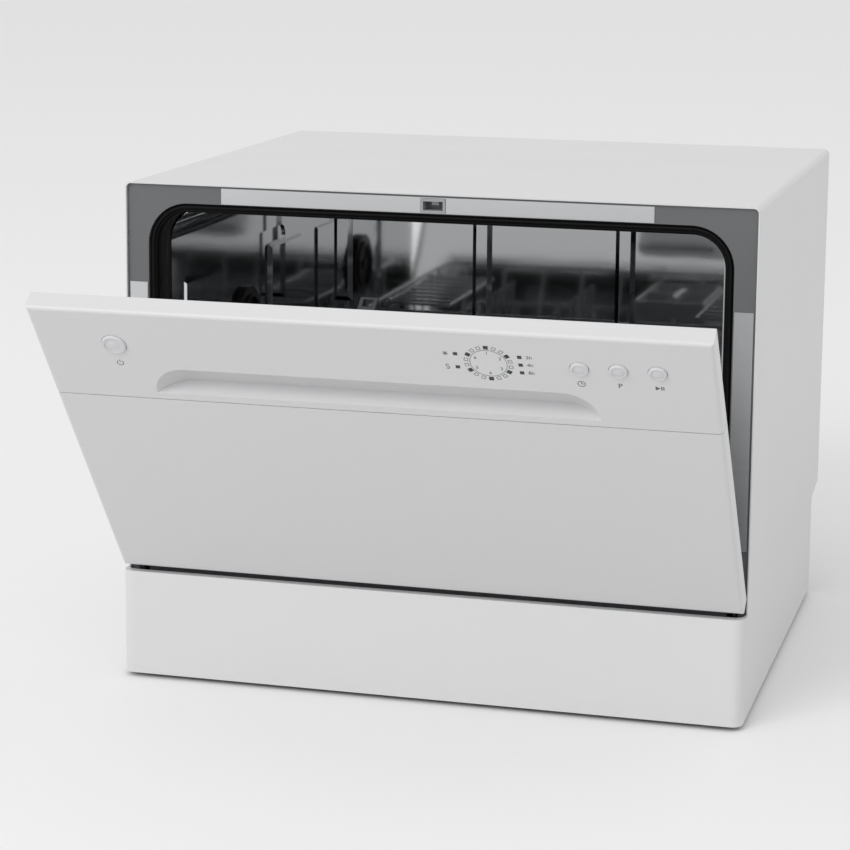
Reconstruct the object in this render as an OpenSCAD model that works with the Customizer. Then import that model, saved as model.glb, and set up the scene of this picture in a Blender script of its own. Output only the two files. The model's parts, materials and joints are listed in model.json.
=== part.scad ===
// Countertop dishwasher with a drop-down door, a sliding basket and a stainless tub.
// Lengths are millimetres. The worktop is z = 0, the door faces -y and x runs to the right.
// Inside the modules, y counts from the front of the plinth towards the rear panel.

/* [Cabinet] */
// Width over the side panels
body_w = 550; // [500:1:620]
// Depth from the plinth to the rear panel
body_d = 500; // [480:1:560]
// Height of the top panel above the worktop
body_h = 438; // [430:1:480]
// Thickness of the painted steel wrap
wrap_t = 1; // [0.6:0.1:1.5]
// Bend radius along the top edges of the wrap
wrap_r = 5; // [3:0.5:9]
// Free height under the side panels and the plinth
ground_gap = 4; // [3:0.5:6]
// Depth of the connection recess at the foot of the rear side
recess_d = 47; // [40:1:55]
// Height of the recess at its inner end
recess_h = 97; // [92:0.5:102]
// Thickness of the rear panel
rear_t = 1; // [0.6:0.1:1.5]
// Depth of the stiffening field pressed into the rear panel
rear_press = 3; // [2:0.5:5]

/* [Plinth and base] */
// Height of the plinth's top edge
plinth_h = 96.5; // [94:0.5:100]
// Thickness of the plinth
plinth_t = 2; // [1.5:0.1:3]
// Radius of the plinth's front corners
plinth_r = 10; // [6:1:14]
// Wall of the moulded base tray
tray_t = 2.5; // [2:0.1:3.5]
// Height of the base tray's walls above the worktop
tray_top = 76; // [70:1:78]
// Height of the ribs on the tray floor
tray_rib = 5.5; // [4:0.5:7]
// Radius of the levelling feet
foot_r = 17; // [14:1:20]
// Thickness of the foot pads
foot_h = 6; // [5:0.5:7]
// Radius of the foot stems
foot_stem_r = 4; // [3:0.5:5]

/* [Door] */
// Angle by which the door stands open
door_open = 37.8; // [30:0.1:45]
// Thickness of the door's outer shell
door_t = 16.5; // [15:0.5:19]
// Gap all round between the closed door and the cabinet
door_gap = 1.5; // [1:0.1:2.5]
// Distance of the hinge axis behind the door's outer face
hinge_in = 9; // [8.5:0.1:10]
// Height of the hinge axis above the plinth
hinge_up = 10.5; // [10.5:0.1:13]
// Height of the moulded control panel
panel_h = 101.3; // [98:0.1:106]
// Gap between the control panel and the lower panel
panel_gap = 1; // [0.6:0.1:2]
// Wall of the moulded control panel
panel_t = 2.5; // [2:0.1:3]
// Sheet of the lower outer panel
skin_t = 1; // [0.6:0.1:1.4]
// Radius of the door's front edges
door_r = 3; // [2:0.5:4]
// How far the inner panel bulges into the tub opening
plug_deep = 24.5; // [22:0.5:26]
// Gap between the bulge and the gasket at the sides
plug_side_gap = 12.5; // [11:0.5:15]
// Sheet of the inner panel and the tub
steel_t = 1; // [0.6:0.1:1.2]

/* [Handle] */
// Half height of the pull's outline, which is also its end radius
pull_h = 30; // [27:0.5:31]
// Depth of the pull at its floor
pull_deep = 16.5; // [13:0.5:17.5]
// Length of the pull from tip to tip
pull_w = 365; // [330:1:380]
// Height of the pull's floor above the panel's lower edge
pull_up = 7; // [6:0.5:9]

/* [Buttons and lights] */
// Radius of the power button
power_r = 10.2; // [9:0.1:11]
// Radius of the three program buttons
button_r = 7.3; // [6.5:0.1:8]
// Distance between the program buttons
button_pitch = 30; // [26:0.5:32]
// How far the buttons stand proud
button_proud = 1.8; // [1.5:0.1:2.5]
// Travel of the buttons
button_travel = 1.5; // [1:0.1:1.6]
// Radius of the ring of program lights
ring_r = 17.6; // [15:0.1:20]
// Radius of one light pipe
light_r = 1.3; // [1:0.1:1.6]

/* [Opening and tub] */
// Width of the steel frame beside the opening
frame_w = 19; // [18.5:0.5:22]
// Height of the steel frame above the opening
frame_head = 16; // [15:0.5:18]
// Corner radius of the opening
open_r = 36; // [30:1:42]
// Thickness of the frame sheet
frame_t = 1; // [0.8:0.1:1.4]
// Thickness of the gasket
gasket_t = 6.2; // [5:0.2:7]
// Gap between the tub's side walls and the wrap
tub_side = 31; // [28.5:0.5:36]
// Gap between the tub's ceiling and the wrap
tub_head = 24; // [22:0.5:30]
// Gap between the tub's rear wall and the rear panel
tub_back = 65; // [55:1:75]
// Corner radius of the tub's ceiling
tub_r = 28; // [22:1:34]
// Height of the wheel ledges above the tub floor
ledge_up = 17; // [16:0.5:19]
// Width of the wheel ledges
ledge_w = 38; // [36:0.5:42]
// Fall of the tub floor to the sump
dish_drop = 14; // [12:0.5:16]
// Width of the stiffening ribs in the rear wall
rib_w = 20; // [16:0.5:24]
// Depth of the ribs and panels pressed into the tub
rib_deep = 4; // [3:0.5:5]
// Distance between the ribs
rib_pitch = 145.5; // [130:0.5:155]
// Width of the sloped flanks beside the ribs and panels
flank_w = 4.5; // [3:0.5:6]
// Radius of the round vent cap on the left wall
vent_r = 33; // [28:1:36]

/* [Washing parts] */
// Reach of the spray arm from its axis
arm_reach = 176; // [160:1:180]
// Thickness of the spray arm
arm_t = 12; // [10:0.5:13]
// Inner radius of the sump
sump_r = 52; // [50:0.5:54]
// Radius of the coarse filter
filter_r = 18; // [16:0.5:19]
// Radius of the salt container's neck
salt_r = 25; // [22:0.5:27]
// Radius of the float's dome
float_r = 19; // [16:0.5:21]
// Travel of the float
float_travel = 7; // [5:0.5:9]

/* [Connections] */
// Outer radius of the threaded water inlet
inlet_r = 13.2; // [12:0.1:14]
// Outer radius of the drain spigot
drain_r = 10; // [9:0.5:12]
// Radius of the cord hole in its gland
cord_r = 3.75; // [3:0.05:4.5]

/* [Basket] */
// How far the basket runs out for each radian of door movement
basket_run = 100; // [80:1:104]
// Height of the basket's rim above the wheel ledges
basket_h = 111; // [100:1:116]
// How far the basket's side wires stand over the wheel ledges
basket_over = 3; // [1:0.5:5]
// Radius of the rim wire
rim_r = 2.5; // [2:0.1:3]
// Radius of the thin wires
wire_r = 1.6; // [1.3:0.1:2]
// Radius of the basket wheels
wheel_r = 11; // [9:0.5:12]
// Thickness of the basket wheels
wheel_w = 8; // [6:0.5:9]
// Distance between two plates
tine_pitch = 28; // [24:0.5:34]
// Width of the fold-down cup shelves
shelf_w = 70; // [50:1:74]

/* [Hidden] */
$fn = 48;

seat = 0.3;
eps = 0.01;

// Cabinet planes
hx = body_w / 2;
in_x = hx - wrap_t;
shell_y = door_t + door_gap;
frame_y = shell_y + 3;
recess_y = body_d - recess_d;
recess_rise = 7;

// Door axes and planes, where c runs into the cabinet and s runs up the door
hinge_y = hinge_in;
hinge_z = plinth_h + hinge_up;
skin_c = -hinge_in;
back_c = door_t - hinge_in;
plug_c = back_c + plug_deep;
door_top = body_h - hinge_z;
door_hx = hx - 1;
split_s = door_top - panel_h;
rim_hx = door_hx - 6;
rim_low = 3;
rim_top = door_top - 6;
door_low = -1;

// The door's reach in front of the plinth sets where the origin lies
reach = sin(door_open) * door_top + cos(door_open) * hinge_in - hinge_y;
cab_y = (reach - body_d) / 2;

// Opening, gasket and tub planes
open_hx = in_x - frame_w;
open_top = body_h - wrap_t - frame_head;
land_hx = open_hx - 2;
land_low = 8;
land_top = open_top - 2 - hinge_z;
land_r = open_r - 2;
tub_y = hinge_y + plug_c + 4;
tub_hx = in_x - tub_side;
tub_top = body_h - wrap_t - tub_head;
tub_rear = body_d - tub_back;
rail_z = hinge_z + plug_c;
floor_z = rail_z - ledge_up;
sump_z = floor_z - dish_drop;
trough_hx = tub_hx - ledge_w;
wash_y = (tub_y + tub_rear) / 2 - 3;
flat_r = sump_r + 14;
dish_r = 150;
sill_z = hinge_z - 3;
sill_lip = rail_z - 1.5;
field_out = 2;
field_y0 = tub_y + 33;
field_y1 = tub_rear - 73;
field_top = tub_top - 53;
vent_y = (tub_y + tub_rear) / 2 + 5;
vent_z = tub_top - 132;

// Base tray
tray_z = foot_h + 2;
tray_floor = tray_z + tray_t;
tray_seat = tray_floor + tray_rib + seat;
tray_y = frame_y + frame_t + 2;
tray_hx = in_x - 0.5;
tray_back = recess_y - 2;
foot_x = hx - 40;
foot_ys = [tray_y + 36, tray_back - 40];
post_x = tub_hx - 8;
post_ys = [tray_y + 60, tray_back - 50];

// Hinges
arm_x = open_hx + 3.6;
arm_w = 3;
ear_x = arm_x + arm_w + 0.7;
ear_w = 2.5;
tail_c = 36;
tail_s = -22;
pin_r = 3;
pin_fit = 0.05;

// Latch
latch_z0 = open_top + frame_t + seat;
latch_z1 = body_h - wrap_t - seat;
tongue_s = latch_z0 + 3.7 - hinge_z;
tongue_t = 4;
tongue_c = 28;

// Control panel places
power_x = 66 - door_hx;
button_x = door_hx - 45 - 2 * button_pitch;
button_s = door_top - 35.5;
power_s = button_s - 2.8;
ring_x = button_x - 70.5;
ring_s = button_s + 0.7;
button_fit = 0.35;
flange_t = 1.5;
board_c = skin_c + panel_t + flange_t + 6;
floor_s = split_s + pull_up;
pull_R = (pull_h * pull_h + pull_deep * pull_deep) / (2 * pull_deep);
pull_e = pull_R - pull_deep;

// Dispenser places on the inner panel
disp_x = 88;
disp_s = door_top - 116;
disp_w = 168;
disp_h = 92;
cup_x = -38;
cup_w = 72;
cup_h = 56;
lid_t = 3;
bezel_t = 2.5;
lid_c = plug_c + bezel_t + seat;
lid_axis_s = disp_s - cup_h / 2 - 8;
lid_axis_c = lid_c + lid_t / 2 + 1;
lid_x = disp_x + cup_x;
lid_ear = cup_w / 2 + 8;
cap_x = 48;
cap_r = 19;

// Basket planes, for the closed door
rim_z = rail_z + basket_h;
basket_hx = trough_hx + basket_over;
grid_z = rail_z + 19.5;
front_top_y = tub_y + 17;
front_low_y = tub_y + 57;
basket_back = tub_rear - 17;
wheel_z = rail_z + seat + wheel_r;
wheel_x = basket_hx + 5;
wheel_base = 170;
wheel_ys = [tub_rear - 50 - wheel_base, tub_rear - 50];
wheel_pin_r = 3;
basket_out = basket_run * door_open * PI / 180;
shelf_x = basket_hx - 5;
shelf_z = rim_z - 3;

// Frames and small helpers

// Puts the cabinet's own frame in the part's frame
module cab() {
  translate([0, cab_y, 0]) children();
}

// Puts a piece drawn on the door's axes at the open angle
module on_door() {
  cab() translate([0, hinge_y, hinge_z]) rotate([door_open, 0, 0]) children();
}

// Puts a piece drawn in the basket's inner place where the open door lets it be
module in_basket() {
  cab() translate([0, -basket_out, 0]) children();
}

// Runs an outline drawn in x and z from y0 to y1
module along_y(y0, y1) {
  translate([0, y1, 0]) rotate([90, 0, 0]) linear_extrude(y1 - y0) children();
}

// Runs an outline drawn in y and z from x0 to x1
module along_x(x0, x1) {
  translate([x0, 0, 0]) rotate([90, 0, 90]) linear_extrude(x1 - x0) children();
}

// A rectangle with round corners about its centre
module rrect(w, h, r) {
  square([w - 2 * r, h], center = true);
  square([w, h - 2 * r], center = true);
  for (x = [-1, 1], y = [-1, 1])
    translate([x * (w / 2 - r), y * (h / 2 - r)]) circle(r);
}

// A rectangle from its corners, with round upper corners only
module arch(x0, x1, z0, z1, r) {
  translate([x0, z0]) square([x1 - x0, z1 - r - z0]);
  translate([x0 + r, z0]) square([x1 - x0 - 2 * r, z1 - z0]);
  translate([x0 + r, z1 - r]) circle(r);
  translate([x1 - r, z1 - r]) circle(r);
}

// A round rod from point a to point b
module rod(a, b, r) {
  d = b - a;
  n = norm(d);
  translate(a) rotate([0, acos(d[2] / n), atan2(d[1], d[0])]) cylinder(r = r, h = n);
}

// A shaft along x
module shaft_x(x0, x1, y, z, r) {
  translate([x0, y, z]) rotate([0, 90, 0]) cylinder(r = r, h = x1 - x0);
}

// A shaft along y
module shaft_y(y0, y1, x, z, r) {
  translate([x, y0, z]) rotate([-90, 0, 0]) cylinder(r = r, h = y1 - y0);
}

// Left and right copies
module both_sides() {
  children();
  mirror([1, 0, 0]) children();
}

// Cabinet shell

// Section of the wrap, g inside its outer face
module wrap_section(g) {
  arch(-hx + g, hx - g, ground_gap - (g > 0 ? 1 : 0), body_h - g, max(wrap_r - g, 0.5));
}

// Side view of the recess at the rear foot
module recess_side(g) {
  polygon([[recess_y + g, -1], [body_d + 2, -1], [body_d + 2, recess_h + recess_rise - g],
    [body_d, recess_h + recess_rise - g], [recess_y + g, recess_h - g]]);
}

module cabinet_wrap() {
  color("white") cab() difference() {
    union() {
      along_y(shell_y, body_d) difference() {
        wrap_section(0);
        wrap_section(wrap_t);
      }
      along_y(body_d - rear_t - seat - wrap_t, body_d - rear_t - seat) difference() {
        wrap_section(wrap_t / 2);
        wrap_section(wrap_t + 12);
        translate([-hx, -1]) square([body_w, recess_h + recess_rise + 3]);
      }
    }
    along_x(-hx - 1, hx + 1) recess_side(0);
    for (p = rear_screw_places) shaft_y(body_d - 10, body_d + 1, p[0], p[1], 2.2);
  }
}

module rear_panel() {
  field_w = body_w - 110;
  field_h = body_h - recess_h - 90;
  field_z = (body_h + recess_h + recess_rise) / 2;
  low_z = recess_h + recess_rise;
  deep_y = body_d - rear_press;
  color("gainsboro") cab() {
    difference() {
      union() {
        along_y(body_d - rear_t, body_d)
          arch(-in_x + seat, in_x - seat, low_z, body_h - wrap_t - seat, wrap_r - wrap_t);
        along_y(deep_y - rear_t, body_d - rear_t / 2) translate([0, field_z]) rrect(field_w, field_h, 18);
      }
      along_y(deep_y, body_d + 1) translate([0, field_z]) difference() {
        rrect(field_w - 2 * rear_t, field_h - 2 * rear_t, 17);
        for (k = [-1, 0, 1]) translate([0, k * field_h / 4]) rrect(field_w - 90, 14, 6);
      }
      along_y(deep_y, body_d + 1) translate([0, field_z])
        for (k = [-1, 0, 1]) translate([0, k * field_h / 4]) rrect(field_w - 92, 12, 5);
      for (p = rear_screw_places) shaft_y(body_d - 5, body_d + 1, p[0], p[1], 2.2);
    }
    // Roof of the recess
    along_x(-in_x + seat, in_x - seat) polygon([[recess_y + 1, recess_h + 0.4], [body_d - 0.6, low_z + 0.2],
      [body_d - 0.6, low_z + 1.2], [recess_y + 1, recess_h + 1.4]]);
  }
}

rear_screw_places = [for (x = [-1, -0.33, 0.33, 1]) [x * (in_x - 7), body_h - 8],
  for (x = [-1, 1], z = [0.3, 0.72]) [x * (in_x - 7), recess_h + z * (body_h - recess_h)]];

module rear_screws() {
  color("silver") cab() for (p = rear_screw_places)
    difference() {
      union() {
        shaft_y(body_d - 8, body_d - 0.5, p[0], p[1], 1.6);
        shaft_y(body_d - rear_t - seat / 2, body_d - 0.1, p[0], p[1], 2);
      }
      translate([p[0], body_d, p[1]]) cube([2.4, 1, 0.6], center = true);
    }
}

// Plinth and base

module plinth_plan(g) {
  back = shell_y - 0.5 + (g > 0 ? 5 : 0);
  translate([-hx + g, plinth_r]) square([2 * (hx - g), back - plinth_r]);
  translate([-hx + plinth_r, g]) square([2 * (hx - plinth_r), back - g]);
  for (x = [-1, 1]) translate([x * (hx - plinth_r), plinth_r]) circle(plinth_r - g);
}

module plinth() {
  lip = 6;
  color("white") cab() {
    translate([0, 0, ground_gap]) linear_extrude(plinth_h - ground_gap) difference() {
      plinth_plan(0);
      plinth_plan(plinth_t);
    }
    translate([0, 0, plinth_h - plinth_t]) linear_extrude(plinth_t) difference() {
      plinth_plan(0);
      translate([0, lip]) plinth_plan(plinth_t);
    }
    for (x = [-0.8, -0.27, 0.27, 0.8]) difference() {
      shaft_y(plinth_t / 2, frame_y - seat, x * in_x, plinth_h - 24, 6);
      shaft_y(plinth_t + 2, frame_y, x * in_x, plinth_h - 24, 2);
    }
    for (x = [-0.53, 0, 0.53])
      translate([x * in_x - 1, plinth_t / 2, ground_gap + 4])
        cube([2, lip, plinth_h - ground_gap - 6]);
  }
}

module base_tray() {
  ribs = [foot_ys[0] + 26, wash_y - 62, wash_y, wash_y + 62, tray_back - 72, tray_back - 26];
  color("dimgray") cab() difference() {
    union() {
      difference() {
        translate([-tray_hx, tray_y, tray_z]) cube([2 * tray_hx, tray_back - tray_y, tray_top - tray_z]);
        translate([-tray_hx + tray_t, tray_y + tray_t, tray_floor])
          cube([2 * (tray_hx - tray_t), tray_back - tray_y - 2 * tray_t, tray_top]);
      }
      for (y = ribs)
        translate([-tray_hx + 1, y - 1.5, tray_z + 1]) cube([2 * tray_hx - 2, 3, tray_t + tray_rib - 1]);
      for (x = [-1, 1], y = foot_ys)
        translate([x * foot_x, y, tray_z]) cylinder(r = foot_stem_r + 5, h = 20);
      for (x = [-1, 1], y = post_ys) translate([x * post_x, y, tray_z + 1]) {
        h = rail_z - steel_t - seat - tray_z - 1;
        translate([-7, -1.25, 0]) cube([14, 2.5, h]);
        translate([-1.25, -7, 0]) cube([2.5, 14, h]);
        translate([0, 0, h - 4]) cylinder(r = 7.5, h = 4);
      }
      // Cradle under the sump
      translate([0, wash_y, tray_z + 1]) difference() {
        cylinder(r = 30, h = 40 - tray_z - 1 - seat);
        translate([0, 0, 2]) cylinder(r = 27, h = 60);
      }
    }
    for (x = [-1, 1], y = foot_ys)
      translate([x * foot_x, y, 0]) cylinder(r = foot_stem_r + 0.2, h = 60);
    for (p = [[inlet_x, inlet_z, inlet_r + 1], [drain_x, drain_z, drain_r + 1], [cord_x, cord_z, 9]])
      shaft_y(tray_back - 10, tray_back + 5, p[0], p[1], p[2]);
    // Slots that let the machine breathe through its floor
    for (x = [-5:5]) translate([x * 22, tray_y + 40, 0])
      translate([-2.5, 0, 0]) cube([5, 26, 60]);
  }
}

module levelling_feet() {
  color("#303030") cab() for (x = [-1, 1], y = foot_ys)
    translate([x * foot_x, y, 0]) {
      cylinder(r1 = foot_r - 1.5, r2 = foot_r, h = 1.5);
      translate([0, 0, 1.5]) cylinder(r = foot_r, h = foot_h - 3);
      translate([0, 0, foot_h - 1.5]) cylinder(r1 = foot_r, r2 = foot_r - 3, h = 1.5);
      cylinder(r = foot_stem_r, h = tray_z + 17);
    }
}

// Opening

module opening(g, z0) {
  arch(-open_hx - g, open_hx + g, z0, open_top + g, open_r + g);
}

module front_frame() {
  head_z = body_h - wrap_t - seat;
  low_z = 30;
  slot_x0 = arm_x - 1.4;
  slot_x1 = ear_x + ear_w + 1.5;
  color("dimgray") cab() {
    difference() {
      union() {
        along_y(frame_y, frame_y + frame_t) difference() {
          arch(-in_x + seat, in_x - seat, low_z, head_z, max(wrap_r - wrap_t - seat, 1));
          opening(0, sill_z);
        }
        along_y(frame_y, tub_y - seat) difference() {
          opening(frame_t, sill_z + 20);
          opening(0, sill_z + 19);
        }
        translate([-tub_hx, frame_y, sill_z - frame_t])
          cube([2 * tub_hx, tub_y + steel_t - frame_y, frame_t]);
      }
      both_sides() translate([slot_x0, frame_y - 1, hinge_z - 20])
        cube([slot_x1 - slot_x0, frame_t + 2, 56]);
      translate([-11, frame_y - 1, latch_z0 - 0.2]) cube([22, frame_t + 2, 12.4]);
      both_sides() for (x = [0.27, 0.8]) shaft_y(frame_y - 1, frame_y + 5, x * in_x, plinth_h - 24, 2);
    }
  }
}

trim_t = 0.8;
trim_hx = open_hx - open_r - 31;

module top_trim_strip() {
  color("gainsboro") cab() along_y(frame_y - trim_t, frame_y) difference() {
    translate([-trim_hx, open_top + 0.6]) square([2 * trim_hx, frame_head - 2.4]);
    translate([-11, latch_z0 - 0.2]) square([22, 12.4]);
  }
}

module side_trim_strips() {
  color("silver") cab() both_sides()
    translate([open_hx + 1, frame_y - trim_t, hinge_z + 43])
      cube([frame_w - 3, trim_t, open_top - 113 - hinge_z]);
}

module door_gasket() {
  y0 = frame_y + 1.3;
  y1 = tub_y - seat;
  low = sill_z + 4;
  bead = 2;
  mid = seat + gasket_t / 2;
  color("#151515") cab() {
    along_y(y0 + bead, y1) difference() {
      opening(-seat, low);
      opening(-seat - gasket_t, low - 1);
    }
    along_y(y0 + 5, y0 + 7.5) difference() {
      opening(-seat - 1, low);
      opening(-seat - gasket_t - 1.8, low - 1);
    }
    // Round sealing bead along the front
    both_sides() {
      translate([open_hx - mid, y0 + bead, low]) cylinder(r = bead, h = open_top - open_r - low);
      translate([open_hx - open_r, y0 + bead, open_top - open_r]) rotate([90, 0, 0])
        rotate_extrude(angle = 90) translate([open_r - mid, 0]) circle(bead);
    }
    shaft_x(-open_hx + open_r, open_hx - open_r, y0 + bead, open_top - mid, bead);
  }
}

// Latch, which holds the door's tongue

module door_latch() {
  y1 = tub_y - 1;
  tz = hinge_z + tongue_s;
  color("#404040") cab() difference() {
    union() {
      translate([-20, frame_y + frame_t + seat, latch_z0])
        cube([40, y1 - frame_y - frame_t - seat, latch_z1 - latch_z0 - 0.7]);
      translate([-10.6, frame_y - 1.6, latch_z0]) cube([21.2, 10, 12]);
    }
    translate([-8.6, frame_y - 3, tz - 1.8]) cube([17.2, hinge_y + tongue_c + 4 - frame_y, tongue_t + 3.6]);
    translate([-3.4, hinge_y + tongue_c - 9.5, tz]) cube([6.8, 7, 20]);
  }
}

module latch_catch() {
  tz = hinge_z + tongue_s;
  color("white") cab() {
    translate([-3, hinge_y + tongue_c - 9, tz + tongue_t - 2]) cube([6, 6, 4]);
    translate([-2, hinge_y + tongue_c - 8, tz + tongue_t + 1]) cube([4, 4, 2.6]);
  }
}

// Tub

// Profile of a pressing from s0 to s1 with sloped flanks, g inside its face; x runs inwards from the wall
module pressing(s0, s1, g) {
  out = 3;
  slope = flank_w / rib_deep;
  side = g * norm([1, slope]);
  high = rib_deep - g;
  polygon([[-out, s0 + side - slope * out], [-out, s1 - side + slope * out],
    [high, s1 - side - slope * high], [high, s0 + side + slope * high]]);
}

// Ribs of the rear wall, g inside their face
module rear_ribs(g) {
  z1 = tub_top + (g > 0 ? 0 : 1);
  for (k = [0, 1, 2]) {
    x = -tub_hx + 38 + k * rib_pitch;
    z0 = k == 0 ? tub_top - 140 : rail_z + 40;
    intersection() {
      translate([x, tub_rear, z0 - 5]) rotate([0, 0, -90])
        linear_extrude(z1 - z0 + 5) pressing(-rib_w / 2, rib_w / 2, g);
      along_x(x - rib_w, x + rib_w) translate([tub_rear, 0]) mirror([1, 0]) pressing(z0, z1 + 20, g);
    }
  }
}

// Panels pressed inwards from both side walls, g inside their face
module wall_panels(g) {
  spans = [[tub_y + 28, tub_y + 132], [tub_rear - 123, tub_rear - 23]];
  x0 = tub_hx + field_out;
  z0 = rail_z - (g > 0 ? 0 : 1);
  both_sides() for (s = spans) intersection() {
    translate([x0, 0, z0]) mirror([1, 0, 0]) linear_extrude(field_top - z0) pressing(s[0], s[1], g);
    along_y(s[0] - 10, s[1] + 10) translate([x0, 0]) mirror([1, 0]) pressing(z0 - 20, field_top - 14, g);
  }
}

// Everything inside the tub, grown by g
module tub_space(g, y0) {
  difference() {
    union() {
      along_y(y0, tub_rear + g) {
        arch(-tub_hx - g, tub_hx + g, rail_z - g, tub_top + g, tub_r + g);
        translate([-trough_hx - g, floor_z - g]) square([2 * (trough_hx + g), ledge_up + g]);
      }
      both_sides() along_x(tub_hx - 5, tub_hx + field_out + g)
        arch(field_y0 - g, field_y1 + g, rail_z - g, field_top + g, 12 + g);
      translate([0, wash_y, sump_z - g]) cylinder(r1 = flat_r + g, r2 = dish_r + g, h = dish_drop);
    }
    rear_ribs(g);
    wall_panels(g);
  }
}

// The tub's sheet between two levels
module tub_sheet(z0, z1) {
  intersection() {
    difference() {
      tub_space(steel_t, tub_y);
      tub_space(0, tub_y - 1);
    }
    translate([-hx, 0, z0]) cube([body_w, body_d, z1 - z0]);
  }
}

module tub() {
  color("silver") cab() difference() {
    union() {
      tub_sheet(rail_z + seat, body_h);
      // Turned-out front flange
      along_y(tub_y, tub_y + steel_t) difference() {
        arch(-open_hx - 1.5, open_hx + 1.5, rail_z + seat, open_top + 1.5, open_r + 1.5);
        arch(-tub_hx, tub_hx, rail_z - 1, tub_top, tub_r);
      }
    }
    shaft_x(-tub_hx - 10, -tub_hx + 10, vent_y, vent_z, vent_r - 12);
  }
}

// Floor of the tub with the wheel ledges, welded under the walls
module tub_floor() {
  color("silver") cab() difference() {
    union() {
      tub_sheet(0, rail_z);
      // Sill across the front with its rolled edge
      along_y(tub_y, tub_y + steel_t) {
        translate([-tub_hx - steel_t, sill_z + seat])
          square([2 * (tub_hx + steel_t), sill_lip - sill_z - seat]);
        both_sides() translate([trough_hx, sill_lip - 1]) square([ledge_w + steel_t, 2]);
      }
      shaft_x(-trough_hx, trough_hx, tub_y + 1.5, sill_lip - 1.5, 1.5);
    }
    translate([0, wash_y, 0]) cylinder(r = sump_r + 2, h = floor_z);
    translate([salt_x, salt_y, floor_z - 10]) cylinder(r = salt_r + 1, h = 20);
    translate([float_x, float_y, floor_z - 10]) cylinder(r = 4.5, h = 20);
  }
}

module vent_cap() {
  x0 = -tub_hx - field_out + seat;
  color("#202020") cab() {
    difference() {
      union() {
        shaft_x(x0, x0 + 5, vent_y, vent_z, vent_r);
        shaft_x(x0 + 4, x0 + 8, vent_y, vent_z, vent_r - 7);
      }
      shaft_x(x0 + 3, x0 + 9, vent_y, vent_z, vent_r - 10);
      for (k = [0:5]) translate([x0, vent_y, vent_z]) rotate([k * 60, 0, 0])
        translate([-1, -1.5, 6]) cube([8, 3, vent_r - 18]);
    }
    difference() {
      shaft_x(x0 + 1, x0 + 7, vent_y, vent_z, 5);
      shaft_x(x0 + 5, x0 + 8, vent_y, vent_z, 2);
    }
  }
}

module air_breather() {
  x1 = -tub_hx - field_out - steel_t - seat;
  x0 = -in_x + seat;
  w = 170;
  h = 168;
  color("#dcdcd4") cab() {
    difference() {
      along_x(x0, x1) translate([vent_y, vent_z - 6]) rrect(w, h, 14);
      along_x(x0 - 1, x0 + 3) translate([vent_y, vent_z - 6]) for (k = [-2:2])
        translate([k * 30, 0]) rrect(18, h - 30, 6);
    }
    difference() {
      shaft_x(x1 - 1, x1 + steel_t + seat, vent_y, vent_z, vent_r - 13);
      shaft_x(x1 - 2, x1 + 5, vent_y, vent_z, vent_r - 16);
    }
  }
}

// Washing parts

salt_x = -172;
salt_y = tub_rear - 57;
float_gap = 10;
float_x = float_r + float_gap - trough_hx;
float_y = tub_y + 40;
pipe_z = 62;

module sump() {
  low = 40;
  color("#d8d8d0") cab() difference() {
    union() {
      translate([0, wash_y, low]) cylinder(r = sump_r + 4, h = sump_z - steel_t - seat - low);
      translate([0, wash_y, sump_z - steel_t - seat - 3]) cylinder(r = flat_r - 1, h = 3);
      shaft_x(0, sump_r + 10, wash_y, pipe_z, 14);
      shaft_x(-sump_r - 10, 0, wash_y, low + 12, 10);
    }
    translate([0, wash_y, low + 4]) cylinder(r = sump_r, h = 100);
    shaft_x(0, sump_r + 11, wash_y, pipe_z, 11);
    shaft_x(-sump_r - 11, 0, wash_y, low + 12, 7.5);
  }
}

filter_dx = 23;

module filter_plate() {
  t = 1.6;
  color("silver") cab() translate([0, wash_y, sump_z + seat]) difference() {
    union() {
      cylinder(r = flat_r - 2, h = t);
      translate([filter_dx, -filter_dx, 0]) cylinder(r = filter_r + 3, h = t + 1);
    }
    translate([0, 0, -1]) cylinder(r = 11.6, h = 9);
    translate([filter_dx, -filter_dx, -1]) cylinder(r = filter_r + 0.4, h = 9);
    for (ring = [0:3], k = [0:11 + ring * 4]) {
      a = k * 360 / (12 + ring * 4);
      r = 24 + ring * 11;
      far = norm([r * cos(a) - filter_dx, r * sin(a) + filter_dx]) > filter_r + 6;
      if (far) rotate([0, 0, a]) translate([r, 0, -1]) cylinder(r = 1.8, h = 9, $fn = 16);
    }
  }
}

module coarse_filter() {
  top = sump_z + seat + 1.6 + 1 + seat;
  color("#c9cdd0") cab() translate([filter_dx, wash_y - filter_dx, 0]) {
    difference() {
      union() {
        translate([0, 0, 46]) cylinder(r = filter_r - 1.5, h = top - 46);
        translate([0, 0, top]) cylinder(r = filter_r + 2.6, h = 2.2);
      }
      translate([0, 0, 48]) cylinder(r = filter_r - 3.5, h = top);
      for (k = [0:7], z = [54, 70, 86]) rotate([0, 0, k * 45])
        translate([filter_r - 5, -3, z]) cube([6, 6, 12]);
    }
    // Grip across the mouth
    translate([-filter_r + 1, -1.5, top - 6]) cube([2 * filter_r - 2, 3, 14]);
  }
}

arm_z = floor_z + 9;

module spray_hub() {
  color("#b8bcc0") cab() translate([0, wash_y, 0]) {
    translate([0, 0, 44 + seat]) cylinder(r = 11, h = arm_z - seat - 44 - seat);
    translate([0, 0, arm_z - 5]) cylinder(r = 6, h = arm_t + 5 + seat);
    translate([0, 0, arm_z + arm_t + seat]) cylinder(r1 = 8, r2 = 6, h = 3);
  }
}

module arm_half() {
  translate([0, -16]) square([20, 32]);
  polygon([[14, -17], [arm_reach - 12, -10], [arm_reach - 12, 10], [14, 17]]);
  translate([arm_reach - 11, 0]) circle(10);
}

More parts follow.
